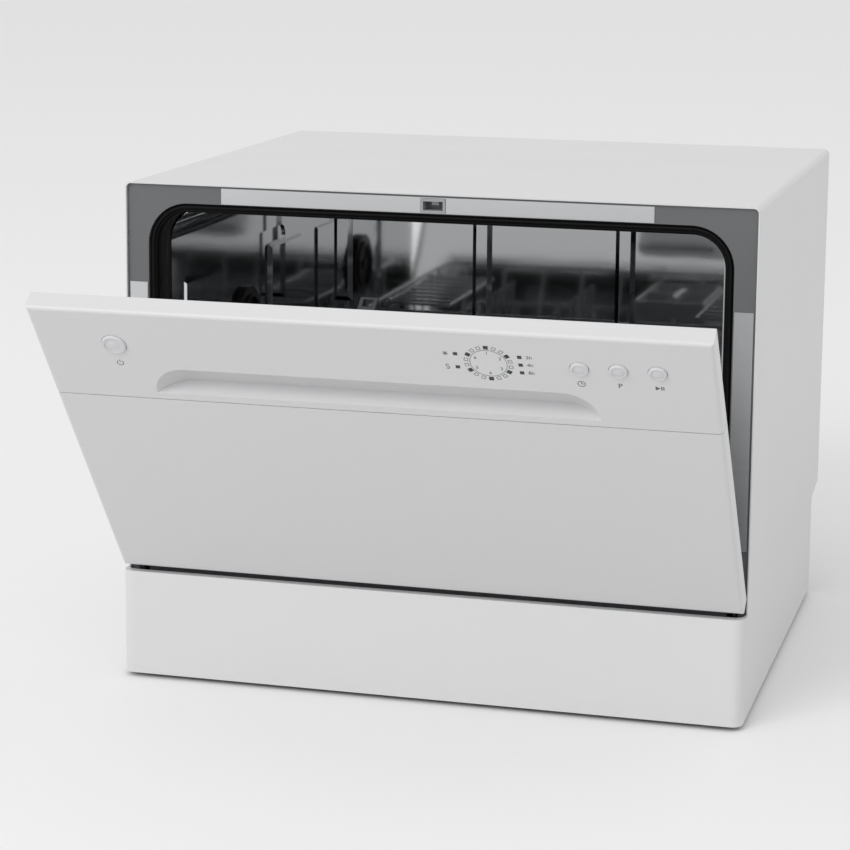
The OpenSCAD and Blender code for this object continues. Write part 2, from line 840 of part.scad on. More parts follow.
module spray_arm() {
  color("#9aa0a6") cab() translate([0, wash_y, arm_z]) difference() {
    union() {
      linear_extrude(arm_t - 3) {
        arm_half();
        rotate(180) arm_half();
        circle(27);
      }
      translate([0, 0, arm_t - 4]) cylinder(r1 = 24, r2 = 18, h = 4);
      for (e = [0, 180]) rotate([0, 0, e]) {
        translate([22, -4, arm_t - 4]) cube([arm_reach - 38, 8, 2.5]);
        for (k = [0:3]) translate([46 + k * (arm_reach - 70) / 3.2, 0, arm_t - 4])
          cylinder(r1 = 5.5, r2 = 4, h = 4);
      }
    }
    translate([0, 0, -1]) cylinder(r = 6.06, h = arm_t + 3);
    translate([0, 0, -1]) cylinder(r = 20, h = 2.5);
    for (e = [0, 180], k = [0:3]) rotate([0, 0, e])
      translate([46 + k * (arm_reach - 70) / 3.2, 0, arm_t - 3]) cylinder(r = 1.6, h = 5, $fn = 16);
  }
}

pump_x0 = sump_r + 10 + seat;
heater_l = 50;

module flow_heater() {
  color("#8c8f92") cab() {
    shaft_x(pump_x0, pump_x0 + heater_l, wash_y, pipe_z, 27);
    shaft_x(pump_x0 + 12, pump_x0 + 38, wash_y, pipe_z, 30);
    translate([pump_x0 + 8, wash_y - 8, pipe_z + 20]) cube([34, 16, 16]);
  }
}

module circulation_pump() {
  x0 = pump_x0 + heater_l + seat;
  color("#3c3c3c") cab() {
    shaft_x(x0, x0 + 28, wash_y, pipe_z, 38);
    shaft_x(x0 + 20, x0 + 105, wash_y, pipe_z, 32);
    for (k = [0:5]) shaft_x(x0 + 38 + k * 10, x0 + 42 + k * 10, wash_y, pipe_z, 34);
    shaft_x(x0 + 100, x0 + 116, wash_y, pipe_z, 16);
    translate([x0 + 4, wash_y - 15, tray_seat]) cube([20, 30, 20]);
    translate([x0 + 70, wash_y - 15, tray_seat]) cube([16, 30, 20]);
  }
}

module drain_pump() {
  x1 = -sump_r - 10 - seat;
  z = 52;
  color("#3c3c3c") cab() {
    shaft_x(x1 - 24, x1, wash_y, z, 26);
    shaft_x(x1 - 82, x1 - 20, wash_y, z, 21);
    shaft_y(wash_y, wash_y + 36, x1 - 12, z, 9);
    translate([x1 - 22, wash_y - 12, tray_seat]) cube([18, 24, 20]);
    translate([x1 - 74, wash_y - 12, tray_seat]) cube([14, 24, 20]);
  }
}

module drain_hose() {
  x0 = -sump_r - 22 - seat;
  y0 = wash_y + 36 + seat;
  bend = 24;
  y1 = wash_y + sump_r + 30;
  z = 52;
  r = 9;
  color("#a8a8a8") cab() {
    shaft_y(y0, y1 - bend, x0, z, r);
    translate([x0 + bend, y1 - bend, z]) rotate([0, 0, 90])
      rotate_extrude(angle = 90) translate([bend, 0]) circle(r);
    shaft_x(x0 + bend, drain_x - bend, y1, z, r);
    translate([drain_x - bend, y1 + bend, z]) rotate([0, 0, -90])
      rotate_extrude(angle = 90) translate([bend, 0]) circle(r);
    shaft_y(y1 + bend, tray_back - 22 - seat, drain_x, z, r);
  }
}

module softener_tank() {
  x0 = salt_x - 50;
  w = 102;
  d = 110;
  y0 = tub_rear - 7 - d;
  top = floor_z - 22;
  color("#e2e2da") cab() {
    difference() {
      translate([x0, y0, tray_seat]) cube([w, d, top - tray_seat]);
      for (k = [0:4]) translate([x0 + 10 + k * 18, y0 - 1, tray_seat + 10])
        cube([8, 4, top - tray_seat - 20]);
    }
    translate([salt_x, salt_y, top - 1]) cylinder(r = salt_r + 6, h = floor_z - steel_t - seat - top + 1);
    translate([salt_x, salt_y, top]) cylinder(r = salt_r, h = floor_z + 2 - top);
  }
}

module salt_cap() {
  color("#8a9096") cab() translate([salt_x, salt_y, floor_z + 2 + seat]) difference() {
    union() {
      cylinder(r = salt_r + 4, h = 6);
      translate([0, 0, 6]) cylinder(r1 = salt_r + 4, r2 = salt_r + 1, h = 2);
      translate([-salt_r, -3.5, 6]) cube([2 * salt_r, 7, 6]);
    }
    for (k = [0:11]) rotate([0, 0, k * 30]) translate([salt_r + 5, 0, -1])
      cylinder(r = 2.5, h = 12, $fn = 24);
  }
}

module float_dome() {
  color("#9aa0a6") cab() translate([float_x, float_y, floor_z + 0.5]) {
    difference() {
      union() {
        cylinder(r = float_r, h = 7);
        translate([0, 0, 7]) cylinder(r1 = float_r, r2 = float_r - 5, h = 5);
      }
      translate([0, 0, -1]) cylinder(r = float_r - 2, h = 7);
    }
    translate([0, 0, -17 - float_travel]) cylinder(r = 3, h = 23 + float_travel);
  }
}

module float_switch() {
  top = floor_z - steel_t - seat;
  color("#555555") cab() difference() {
    translate([float_x - 16, float_y - 14, top - 34]) cube([32, 28, 34]);
    translate([float_x, float_y, top - 20 - float_travel]) cylinder(r = 3.4, h = 40);
  }
}

// Connections in the rear recess

inlet_x = 190;
inlet_z = 48;
drain_x = 110;
drain_z = 52;
cord_x = -205;
cord_z = 52;

module inlet_valve() {
  color("#f0f0f0") cab() difference() {
    union() {
      translate([inlet_x - 20, tray_back - tray_t - seat - 40, inlet_z - 18]) cube([40, 40, 40]);
      translate([inlet_x - 12, tray_back - tray_t - seat - 34, tray_seat])
        cube([24, 28, inlet_z - 17 - tray_seat]);
      shaft_y(tray_back - 10, tray_back + 4, inlet_x, inlet_z, inlet_r - 0.5);
      shaft_y(tray_back + 3, tray_back + 6, inlet_x, inlet_z, inlet_r + 4);
      shaft_y(tray_back + 5, tray_back + 22, inlet_x, inlet_z, inlet_r);
    }
    shaft_y(tray_back + 8, tray_back + 30, inlet_x, inlet_z, inlet_r - 3.5);
  }
}

module drain_outlet() {
  color("#a8a8a8") cab() difference() {
    union() {
      shaft_y(tray_back - 22, tray_back + 34, drain_x, drain_z, drain_r);
      shaft_y(tray_back + seat, tray_back + 4, drain_x, drain_z, drain_r + 5);
    }
    shaft_y(tray_back - 10, tray_back + 40, drain_x, drain_z, drain_r - 2.2);
  }
}

module cord_gland() {
  color("#222222") cab() difference() {
    union() {
      shaft_y(tray_back - 9, tray_back + 2, cord_x, cord_z, 8.7);
      shaft_y(tray_back + seat, tray_back + 4, cord_x, cord_z, 12);
      shaft_y(tray_back + 3, tray_back + 12, cord_x, cord_z, 8);
    }
    shaft_y(tray_back - 12, tray_back + 20, cord_x, cord_z, cord_r);
  }
}

// Hinges

module hinge_brackets() {
  color("gray") cab() both_sides() {
    along_x(ear_x, ear_x + ear_w) {
      translate([hinge_y, hinge_z]) circle(6.8);
      polygon([[hinge_y + 3, hinge_z + 6], [frame_y + 12, hinge_z + 2], [frame_y + 42, hinge_z],
        [frame_y + 42, tray_seat], [tray_y + tray_t + 2, tray_seat], [tray_y + tray_t + 2, hinge_z - 22],
        [hinge_y + 6, hinge_z - 6]]);
    }
    shaft_x(arm_x - 1, ear_x + 1, hinge_y, hinge_z, pin_r);
    translate([ear_x + 1, tray_y + tray_t + 2, tray_seat])
      cube([7, frame_y + 40 - tray_y - tray_t, 2]);
  }
}

module hinge_arms() {
  color("gray") on_door() both_sides() {
    along_x(arm_x, arm_x + arm_w) difference() {
      union() {
        circle(7);
        translate([-5.5, 0]) square([back_c - steel_t - seat + 5.5, 118]);
        polygon([[-2, -6.7], [4, 6], [tail_c + 2, tail_s + 5.5], [tail_c - 3, tail_s - 5]]);
        translate([tail_c, tail_s]) circle(6);
      }
      circle(pin_r + pin_fit);
      translate([tail_c, tail_s]) circle(2);
    }
  }
}

// Straight springs hooked from the arms' tails to the base
module hinge_springs() {
  q = door_open;
  a = [hinge_y + tail_c * cos(q) - tail_s * sin(q), hinge_z + tail_c * sin(q) + tail_s * cos(q)];
  b = [a[0] + 150, tray_top - 12];
  d = (b - a) / norm(b - a);
  x = arm_x + arm_w / 2;
  at = function (t) [x, a[0] + d[0] * t, a[1] + d[1] * t];
  color("silver") cab() both_sides() {
    rod(at(8), at(40), 1.3);
    rod(at(38), at(norm(b - a) - 16), 8);
    rod(at(norm(b - a) - 20), at(norm(b - a)), 1.3);
    translate([x - 1, b[0], b[1]]) shaft_x(0, tray_hx - tray_t - x + 1 - seat, 0, 0, 3);
  }
}

// Door shell

// Plan of the door's outer shell, g inside its face, in x and c
module shell_plan(g) {
  back = back_c + (g > 0 ? 5 : 0);
  translate([-door_hx + g, skin_c + door_r]) square([2 * (door_hx - g), back - skin_c - door_r]);
  translate([-door_hx + door_r, skin_c + g]) square([2 * (door_hx - door_r), back - skin_c - g]);
  for (x = [-1, 1]) translate([x * (door_hx - door_r), skin_c + door_r]) circle(max(door_r - g, 0.4));
}

// Side view of the door's outer shell between s0 and s1, rounded at the front of one end
module shell_side(s0, s1, g, round_top) {
  back = back_c + (g > 0 ? 5 : 0);
  r = max(door_r - g, 0.4);
  sr = round_top ? s1 - g - r : s0 + g + r;
  far = round_top ? s0 + g : s1 - g;
  low = min(sr, far);
  translate([skin_c + g, low]) square([back - skin_c - g, abs(sr - far)]);
  translate([skin_c + g + r, min(s0 + g, sr)]) square([back - skin_c - g - r, s1 - s0 - 2 * g]);
  translate([skin_c + g + r, sr]) circle(r);
}

module shell_block(s0, s1, g, round_top) {
  intersection() {
    translate([0, 0, s0 - 1]) linear_extrude(s1 - s0 + 2) shell_plan(g);
    along_x(-hx, hx) shell_side(s0, s1, g, round_top);
  }
}

// The space that the hinge needs in the door's lower corners
module hinge_room() {
  both_sides() translate([arm_x - 1, -2, door_low - 1]) cube([ear_x + ear_w + 1 - arm_x + 1, 14, 15]);
  both_sides() shaft_x(arm_x - 1, ear_x + ear_w + 1, 0, 0, 7.8);
}

// The space that the rim of the inner panel takes up at the back of the shell
module rim_room() {
  inset = steel_t + seat;
  along_y(back_c - inset, back_c + 1) difference() {
    translate([-rim_hx - seat, rim_low - seat])
      square([2 * (rim_hx + seat), rim_top - rim_low + 2 * seat]);
    arch(-land_hx + inset, land_hx - inset, land_low + inset, land_top - inset, land_r - inset);
  }
}

module outer_door_panel() {
  color("white") on_door() difference() {
    shell_block(door_low, split_s - panel_gap, 0, false);
    shell_block(door_low, split_s - panel_gap, skin_t, false);
    hinge_room();
    rim_room();
  }
}

// The scoop of the pull, g outside its face: a round trough with ball ends
module pull_scoop(g) {
  half = pull_w / 2 - pull_h;
  intersection() {
    translate([-2.4, skin_c - pull_e, floor_s]) union() {
      shaft_x(-half, half, 0, 0, pull_R + g);
      for (e = [-1, 1]) translate([e * half, 0, 0]) sphere(pull_R + g, $fn = 96);
    }
    translate([-hx, skin_c - (g > 0 ? 0 : 3), floor_s - g]) cube([body_w, 60, pull_h + 20]);
  }
}

button_places = [[power_x, power_s, power_r], [button_x, button_s, button_r],
  [button_x + button_pitch, button_s, button_r], [button_x + 2 * button_pitch, button_s, button_r]];
light_places = concat(
  [for (k = [0:5]) [ring_x + ring_r * sin(k * 60), ring_s + ring_r * cos(k * 60)]],
  [for (e = [0.5, -0.35]) [ring_x - 25, ring_s + e * ring_r]],
  [for (e = [0.5, 0, -0.5]) [ring_x + 25.2, ring_s + e * ring_r]]);
board_places = [[ring_x - 32, ring_s + 18], [button_x + 2 * button_pitch + 12, ring_s + 18],
  [ring_x - 32, ring_s - 18], [button_x + 2 * button_pitch + 12, ring_s - 18]];

module control_panel() {
  inner_c = skin_c + panel_t;
  color("white") on_door() difference() {
    union() {
      difference() {
        shell_block(split_s, door_top, 0, true);
        shell_block(split_s, door_top, panel_t, true);
      }
      pull_scoop(panel_t);
      for (p = board_places) translate([p[0], inner_c - 1, p[1]]) rotate([-90, 0, 0])
        cylinder(r = 3.5, h = board_c - seat - inner_c + 1);
      for (e = [-1, 1]) translate([power_x + e * 17, inner_c - 1, power_s]) rotate([-90, 0, 0])
        cylinder(r = 3, h = board_c - seat - inner_c + 1);
    }
    pull_scoop(0);
    rim_room();
    for (b = button_places) translate([b[0], skin_c - 1, b[1]]) rotate([-90, 0, 0])
      cylinder(r = b[2] + button_fit, h = panel_t + 2);
    for (p = light_places) translate([p[0], skin_c - 1, p[1]]) rotate([-90, 0, 0])
      cylinder(r = light_r + 0.1, h = panel_t + 2);
  }
}

module button(b) {
  inner_c = skin_c + panel_t;
  color("#e8e8e8") on_door() translate([b[0], 0, b[1]]) rotate([-90, 0, 0]) {
    difference() {
      union() {
        translate([0, 0, skin_c - button_proud + 1])
          cylinder(r = b[2], h = inner_c - skin_c + button_proud);
        translate([0, 0, skin_c - button_proud]) cylinder(r1 = b[2] - 1, r2 = b[2], h = 1);
      }
      translate([0, 0, skin_c - button_proud - 1]) cylinder(r = b[2] - 2.4, h = 1.6);
    }
    // Low dome in the middle of the cap
    intersection() {
      translate([0, 0, skin_c - button_proud + 20]) sphere(20, $fn = 96);
      translate([0, 0, skin_c - button_proud - 1]) cylinder(r = b[2] - 2.9, h = 4);
    }
    translate([0, 0, inner_c + 0.2]) cylinder(r = b[2] + 1.6, h = flange_t);
  }
}

module power_button() {
  button(button_places[0]);
}

module delay_button() {
  button(button_places[1]);
}

module program_button() {
  button(button_places[2]);
}

module start_button() {
  button(button_places[3]);
}

module indicator_lights() {
  color("#101418") on_door() for (p = light_places)
    translate([p[0], skin_c - 0.2, p[1]]) rotate([-90, 0, 0]) {
      cylinder(r = light_r, h = panel_t + 0.2 + seat, $fn = 24);
      translate([0, 0, panel_t + 0.2 + seat - eps])
        cylinder(r = light_r + 0.8, h = board_c - skin_c - panel_t - 2 * seat, $fn = 24);
    }
}

module control_board() {
  switch_c = skin_c + panel_t + 0.2 + flange_t + button_travel + seat;
  x0 = board_places[0][0] - 6;
  x1 = board_places[1][0] + 6;
  color("#2e5e3a") on_door() {
    translate([x0, board_c, ring_s - 23]) cube([x1 - x0, 1.6, 46]);
    translate([power_x - 24, board_c, power_s - 12]) cube([48, 1.6, 24]);
    for (b = button_places) translate([b[0] - 3, switch_c, b[1] - 3])
      cube([6, board_c - switch_c + eps, 6]);
    translate([ring_x - 8, board_c + 1.5, ring_s - 8]) cube([16, 3, 16]);
    translate([x1 - 30, board_c + 1.5, ring_s - 6]) cube([24, 3.5, 12]);
  }
}

// Inner panel and its seal

// Outer surfaces of the inner panel, g inside them
module pan(g) {
  plug_hx = open_hx - seat - gasket_t - plug_side_gap;
  plug_top = open_top - 16 - hinge_z;
  along_y(back_c - steel_t - (g > 0 ? 1 : 0), back_c - g)
    translate([0, (rim_low + rim_top) / 2])
      square([2 * (rim_hx - g), rim_top - rim_low - 2 * g], center = true);
  along_y(back_c - steel_t - (g > 0 ? 1 : 0), back_c + 5.3 - g)
    arch(-land_hx + g, land_hx - g, land_low + g, land_top - g, land_r - g);
  along_y(back_c - steel_t - (g > 0 ? 1 : 0), plug_c - g)
    arch(-plug_hx + g, plug_hx - g, 11 + g, plug_top - g, 24 - g);
}

module inner_door_panel() {
  plug_hx = open_hx - seat - gasket_t - plug_side_gap;
  color("silver") on_door() difference() {
    union() {
      difference() {
        pan(0);
        pan(steel_t);
      }
      // Back of the two pressed fields below the dispenser
      for (e = [-1, 1]) along_y(plug_c - 3, plug_c - 2)
        translate([e * plug_hx / 2, 88]) rrect(plug_hx - 28, 110, 16);
      for (e = [-1, 1]) along_y(plug_c - 3, plug_c - 0.5)
        translate([e * plug_hx / 2, 88]) difference() {
          rrect(plug_hx - 28, 110, 16);
          rrect(plug_hx - 30, 108, 15);
        }
    }
    for (e = [-1, 1]) along_y(plug_c - 2, plug_c + 1)
      translate([e * plug_hx / 2, 88]) rrect(plug_hx - 30, 108, 15);
    along_y(plug_c - 5, plug_c + 1) translate([disp_x, disp_s]) rrect(disp_w - 8, disp_h - 8, 8);
    hinge_room();
  }
}

module lower_door_seal() {
  plug_hx = open_hx - seat - gasket_t - plug_side_gap;
  low = 11 - seat;
  color("#181818") on_door() along_x(-plug_hx + 1, plug_hx - 1)
    polygon([[back_c + 6.5, low], [plug_c - 1, low], [plug_c - 1, low - 2], [plug_c - 7, low - 2.6],
      [plug_c - 11, low - 5.6], [plug_c - 13, low - 5.6], [plug_c - 12.5, low - 2.6],
      [back_c + 6.5, low - 2]]);
}

module door_striker() {
  base_s = land_top + 1;
  color("gray") on_door() difference() {
    union() {
      translate([-18, back_c + seat, base_s]) cube([36, 1.6, 10.4]);
      translate([-7, back_c + seat, tongue_s]) cube([14, tongue_c - back_c - seat, tongue_t]);
      for (x = [-7, 5.4]) along_x(x, x + 1.6)
        polygon([[back_c + 1, tongue_s + 1], [back_c + 12, tongue_s + 1], [back_c + 1, tongue_s - 1.5]]);
    }
    translate([-4, tongue_c - 9.8, tongue_s - 1]) cube([8, 7.6, tongue_t + 2]);
    for (x = [-13, 13]) translate([x, back_c, base_s + 5.2]) rotate([-90, 0, 0]) cylinder(r = 1.7, h = 4);
  }
}

// Dispenser on the inner panel

module dispenser_body() {
  color("#b9bcc0") on_door() difference() {
    union() {
      along_y(plug_c + seat / 2, plug_c + bezel_t) translate([disp_x, disp_s]) rrect(disp_w, disp_h, 10);
      along_y(plug_c - 19, plug_c + 1) translate([disp_x, disp_s]) rrect(disp_w - 9, disp_h - 9, 7);
      // Ears that carry the lid's pins
      for (x = [lid_x - lid_ear, lid_x + lid_ear]) along_x(x - 2, x + 2) {
        translate([lid_axis_c, lid_axis_s]) circle(3.6);
        translate([plug_c + 1, lid_axis_s - 3.6]) square([lid_axis_c - plug_c - 1, 7.2]);
      }
    }
    along_y(plug_c - 17, plug_c + 9) translate([lid_x, disp_s]) rrect(cup_w, cup_h, 8);
    translate([disp_x + cap_x, plug_c - 10, disp_s]) rotate([-90, 0, 0]) cylinder(r = 14, h = 20);
    for (x = [lid_x - lid_ear, lid_x + lid_ear]) shaft_x(x - 4, x + 4, lid_axis_c, lid_axis_s, 2.06);
    // Dosing marks beside the cap
    for (k = [0:3]) translate([disp_x + cap_x + 26, plug_c + bezel_t - 0.6, disp_s - 12 + k * 7])
      cube([6 + k, 2, 1.2]);
  }
}

module detergent_lid() {
  w = cup_w + 8;
  top = disp_s + cup_h / 2 + 5;
  color("#c6c9cc") on_door() {
    difference() {
      along_y(lid_c, lid_c + lid_t) translate([lid_x, (lid_axis_s + 4 + top) / 2])
        rrect(w, top - lid_axis_s - 4, 5);
      along_y(lid_c + lid_t - 1, lid_c + lid_t + 1) translate([lid_x, disp_s + 2])
        rrect(w - 16, cup_h - 12, 5);
    }
    for (e = [-1, 1]) along_x(lid_x + e * (cup_w / 2 + 1) - 2.5, lid_x + e * (cup_w / 2 + 1) + 2.5) {
      translate([lid_axis_c, lid_axis_s]) circle(2.6);
      translate([lid_c + 0.3, lid_axis_s]) square([lid_t - 0.5, 8]);
    }
    shaft_x(lid_x - lid_ear - 1.8, lid_x + lid_ear + 1.8, lid_axis_c, lid_axis_s, 2);
  }
}

module lid_latch() {
  s0 = disp_s + cup_h / 2 + 5.6;
  color("#e8e8e8") on_door() translate([lid_x - 9, lid_c, s0]) {
    difference() {
      cube([18, 4, 5.6]);
      for (k = [0:3]) translate([3 + k * 3.4, 3.2, -1]) cube([1.4, 2, 8]);
    }
  }
}

module rinse_aid_cap() {
  color("#d6d8da") on_door() translate([disp_x + cap_x, lid_c, disp_s]) rotate([-90, 0, 0]) difference() {
    union() {
      cylinder(r = cap_r, h = 3);
      translate([0, 0, 3]) cylinder(r1 = cap_r, r2 = cap_r - 2, h = 1.5);
      translate([-cap_r + 4, -3, 4]) cube([2 * cap_r - 8, 6, 4]);
      translate([0, 0, -seat - 8]) cylinder(r = 13.6, h = 9);
    }
    translate([0, cap_r - 5, 3.6]) cylinder(r = 1.6, h = 4, $fn = 24);
  }
}

// Basket

cross_n = 9;
long_n = 9;
cross_y0 = front_low_y + 10;
cross_pitch = (basket_back - 24 - cross_y0) / (cross_n - 1);
cross_ys = [for (k = [0:cross_n - 1]) cross_y0 + k * cross_pitch];
long_xs = [for (k = [0:long_n - 1]) -basket_hx + 22 + k * (2 * basket_hx - 44) / (long_n - 1)];
long_z = grid_z + 2 * wire_r - 0.4;
wire_bend = 9;
shelf_y0 = cross_ys[1] + cross_pitch / 2 - 12;
shelf_len = 5 * cross_pitch + 24;

// Upper ring of the basket: a bent wire with round corners
module wire_ring(x1, y0, y1, z, r, bend) {
  for (e = [-1, 1]) {
    shaft_y(y0 + bend, y1 - bend, e * x1, z, r);
    for (y = [y0 + bend, y1 - bend])
      translate([e * (x1 - bend), y, z])
        rotate([0, 0, e > 0 ? (y > y0 + bend + 1 ? 0 : -90) : (y > y0 + bend + 1 ? 90 : 180)])
          rotate_extrude(angle = 90) translate([bend, 0]) circle(r);
  }
  for (y = [y0, y1]) shaft_x(-x1 + bend, x1 - bend, y, z, r);
}

// A thin wire that comes down the sloped front, runs back along the floor and turns up again
module long_wire(x) {
  run = [front_low_y - front_top_y, long_z - rim_z];
  turn = -atan2(run[1], run[0]);
  cut = wire_bend * tan(turn / 2);
  shaft_y(front_low_y + cut, basket_back - wire_bend, x, long_z, wire_r);
  translate([x, basket_back, long_z + wire_bend]) cylinder(r = wire_r, h = rim_z - long_z - wire_bend);
  translate([x, basket_back - wire_bend, long_z + wire_bend]) rotate([90, 0, 90]) rotate([0, 0, -90])
    rotate_extrude(angle = 90) translate([wire_bend, 0]) circle(wire_r);
  translate([x, front_low_y + cut, long_z + wire_bend]) rotate([90, 0, 90]) rotate([0, 0, -90 - turn]) {
    rotate_extrude(angle = turn) translate([wire_bend, 0]) circle(wire_r);
    translate([wire_bend, 0, 0]) rotate([90, 0, 0]) cylinder(r = wire_r, h = norm(run) - cut);
  }
}

module basket_frame() {
  side_z = grid_z + 10;
  color("#b4b8bc") in_basket() {
    wire_ring(basket_hx, front_top_y, basket_back, rim_z, rim_r, 18);
    // Wires that run across, down one side and up the other
    for (y = cross_ys) {
      for (e = [-1, 1]) {
        translate([e * basket_hx, y, side_z]) cylinder(r = wire_r, h = rim_z - side_z);
        translate([e * (basket_hx - 10), y, side_z]) rotate([90, e > 0 ? 90 : 180, 0])
          rotate_extrude(angle = 90) translate([10, 0]) circle(wire_r);
      }
      shaft_x(-basket_hx + 10, basket_hx - 10, y, grid_z, wire_r);
    }
    // Wires that run from front to back on top of them
    for (x = long_xs) long_wire(x);
    // Wheel carriers with their pins, and eyes for the cup shelves
    both_sides() {
      for (y = wheel_ys) {
        translate([basket_hx + 0.5, y - 26, wheel_z - 5]) cube([2.9, 52, 36]);
        shaft_x(basket_hx + 2, wheel_x + wheel_w + 1.4, y, wheel_z, wheel_pin_r);
        shaft_x(wheel_x + wheel_w + seat, wheel_x + wheel_w + 2, y, wheel_z, wheel_pin_r + 1.2);
      }
      for (y = [shelf_y0 + 12, shelf_y0 + shelf_len - 12]) difference() {
        union() {
          shaft_y(y - 3, y + 3, shelf_x, shelf_z, 4);
          translate([shelf_x, y - 3, shelf_z]) cube([basket_hx - shelf_x, 6, rim_z - shelf_z]);
        }
        shaft_y(y - 4, y + 4, shelf_x, shelf_z, wire_r + 0.2 + 0.06);
      }
    }
  }
}

module plate_tines() {
  z0 = grid_z + 2 * wire_r + seat;
  n = floor((basket_back - front_low_y - 60) / tine_pitch);
  color("#c4c8cc") in_basket() for (x = [(long_xs[1] + long_xs[2]) / 2, (long_xs[3] + long_xs[4]) / 2]) {
    shaft_y(front_low_y + 14, front_low_y + 34 + n * tine_pitch, x, z0, wire_r);
    for (k = [0:n]) translate([x, front_low_y + 24 + k * tine_pitch, z0])
      cylinder(r = wire_r, h = rim_z - 12 - z0);
  }
}

module basket_wheel(side, y) {
  x0 = side > 0 ? wheel_x : -wheel_x - wheel_w;
  color("#8f969c") in_basket() difference() {
    union() {
      shaft_x(x0, x0 + wheel_w, y, wheel_z, wheel_r - 1);
      shaft_x(x0 + 1, x0 + wheel_w - 1, y, wheel_z, wheel_r);
    }
    shaft_x(x0 - 1, x0 + wheel_w + 1, y, wheel_z, wheel_pin_r + 0.06);
    for (k = [0:4]) translate([x0 - 1, y, wheel_z]) rotate([k * 72, 0, 0])
      translate([0, 0, wheel_r * 0.62]) rotate([0, 90, 0]) cylinder(r = 1.5, h = wheel_w + 2, $fn = 24);
  }
}

module wheel_front_left() {
  basket_wheel(-1, wheel_ys[0]);
}

module wheel_front_right() {
  basket_wheel(1, wheel_ys[0]);
}

module wheel_rear_left() {
  basket_wheel(-1, wheel_ys[1]);
}

module wheel_rear_right() {
  basket_wheel(1, wheel_ys[1]);
}

module cup_shelf() {
  x0 = shelf_x;
  color("#c4c8cc") in_basket() {
    shaft_y(shelf_y0, shelf_y0 + shelf_len, x0, shelf_z, wire_r + 0.2);
    shaft_y(shelf_y0 + 4, shelf_y0 + shelf_len - 4, x0 - shelf_w, shelf_z, wire_r);
    for (k = [0:6]) shaft_x(x0 - shelf_w, x0, shelf_y0 + 26 + k * (shelf_len - 52) / 6, shelf_z, wire_r);
    for (y = [shelf_y0 + 4, shelf_y0 + shelf_len - 4]) shaft_x(x0 - shelf_w, x0, y, shelf_z, wire_r);
  }
}

module cup_shelf_right() {
  cup_shelf();
}

module cup_shelf_left() {
  mirror([1, 0, 0]) cup_shelf();
}

module cutlery_basket() {
  x0 = 48;
  w = 76;
  y0 = front_low_y + 6;
  d = 134;
  z0 = grid_z + 3 * wire_r - 0.4 + seat;
  h = rim_z - 5 - z0;
  t = 2;
  slot_w = 3.4;
  slot_h = h - 30;
  color("#a9b0b6") in_basket() {
    difference() {
      translate([x0, y0, z0]) cube([w, d, h]);
      translate([x0 + t, y0 + t, z0 + t]) cube([w - 2 * t, d - 2 * t, h]);
      // Water slots in the walls and the floor
      for (k = [0:9]) translate([x0 - 1, y0 + 8.7 + k * 12.5, z0 + 12])
        cube([w + 2, slot_w, slot_h]);
      for (k = [0:5]) translate([x0 + 8.5 + k * 10.8, y0 - 1, z0 + 12])
        cube([slot_w, d + 2, slot_h]);
      for (k = [0:5], j = [0, 1]) translate([x0 + 8.5 + k * 10.8, y0 + 9 + j * 62, z0 - 1])
        cube([slot_w, 54, 4]);
    }
    // Partitions and the grip on the long one
    translate([x0 + 1, y0 + d / 2 - t / 2, z0 + 1]) cube([w - 2, t, h - 1]);
    translate([x0 + w / 2 - t / 2, y0 + 1, z0 + 1]) cube([t, d - 2, h - 12]);
    translate([x0 + w / 2 - 3, y0 + d / 2 - 32, z0 + h - 6]) cube([6, 64, 6]);
  }
}

cabinet_wrap();
rear_panel();
rear_screws();
plinth();
base_tray();
levelling_feet();
front_frame();
top_trim_strip();
side_trim_strips();
door_gasket();
door_latch();
latch_catch();
tub();
tub_floor();
vent_cap();
air_breather();
sump();
filter_plate();
coarse_filter();
spray_hub();
spray_arm();
circulation_pump();
flow_heater();
drain_pump();
drain_hose();
softener_tank();
salt_cap();
float_dome();
float_switch();
inlet_valve();
drain_outlet();
cord_gland();
hinge_brackets();
hinge_springs();
outer_door_panel();
control_panel();
inner_door_panel();
lower_door_seal();
door_striker();
hinge_arms();
control_board();
indicator_lights();
power_button();
delay_button();
program_button();
start_button();
dispenser_body();
detergent_lid();
lid_latch();
rinse_aid_cap();
basket_frame();
plate_tines();
wheel_front_left();
wheel_front_right();
wheel_rear_left();
wheel_rear_right();
cup_shelf_left();
cup_shelf_right();
cutlery_basket();
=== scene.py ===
# %% [markdown]
# A compact dishwasher stands on a worktop with its door ajar. The shapes come from the
# CAD model, piece by piece. This script gives each piece its finish and adds what is
# easier to model here: the printed signs, the wound door springs and the beads on the
# plate holder's pins. Then it sets up a plain studio. Everything is in metres, in the
# frame of the CAD model: x to the right, y towards the back, z up.

# %% Load the CAD model
import json
import math

import bmesh
import bpy
from mathutils import Matrix, Vector


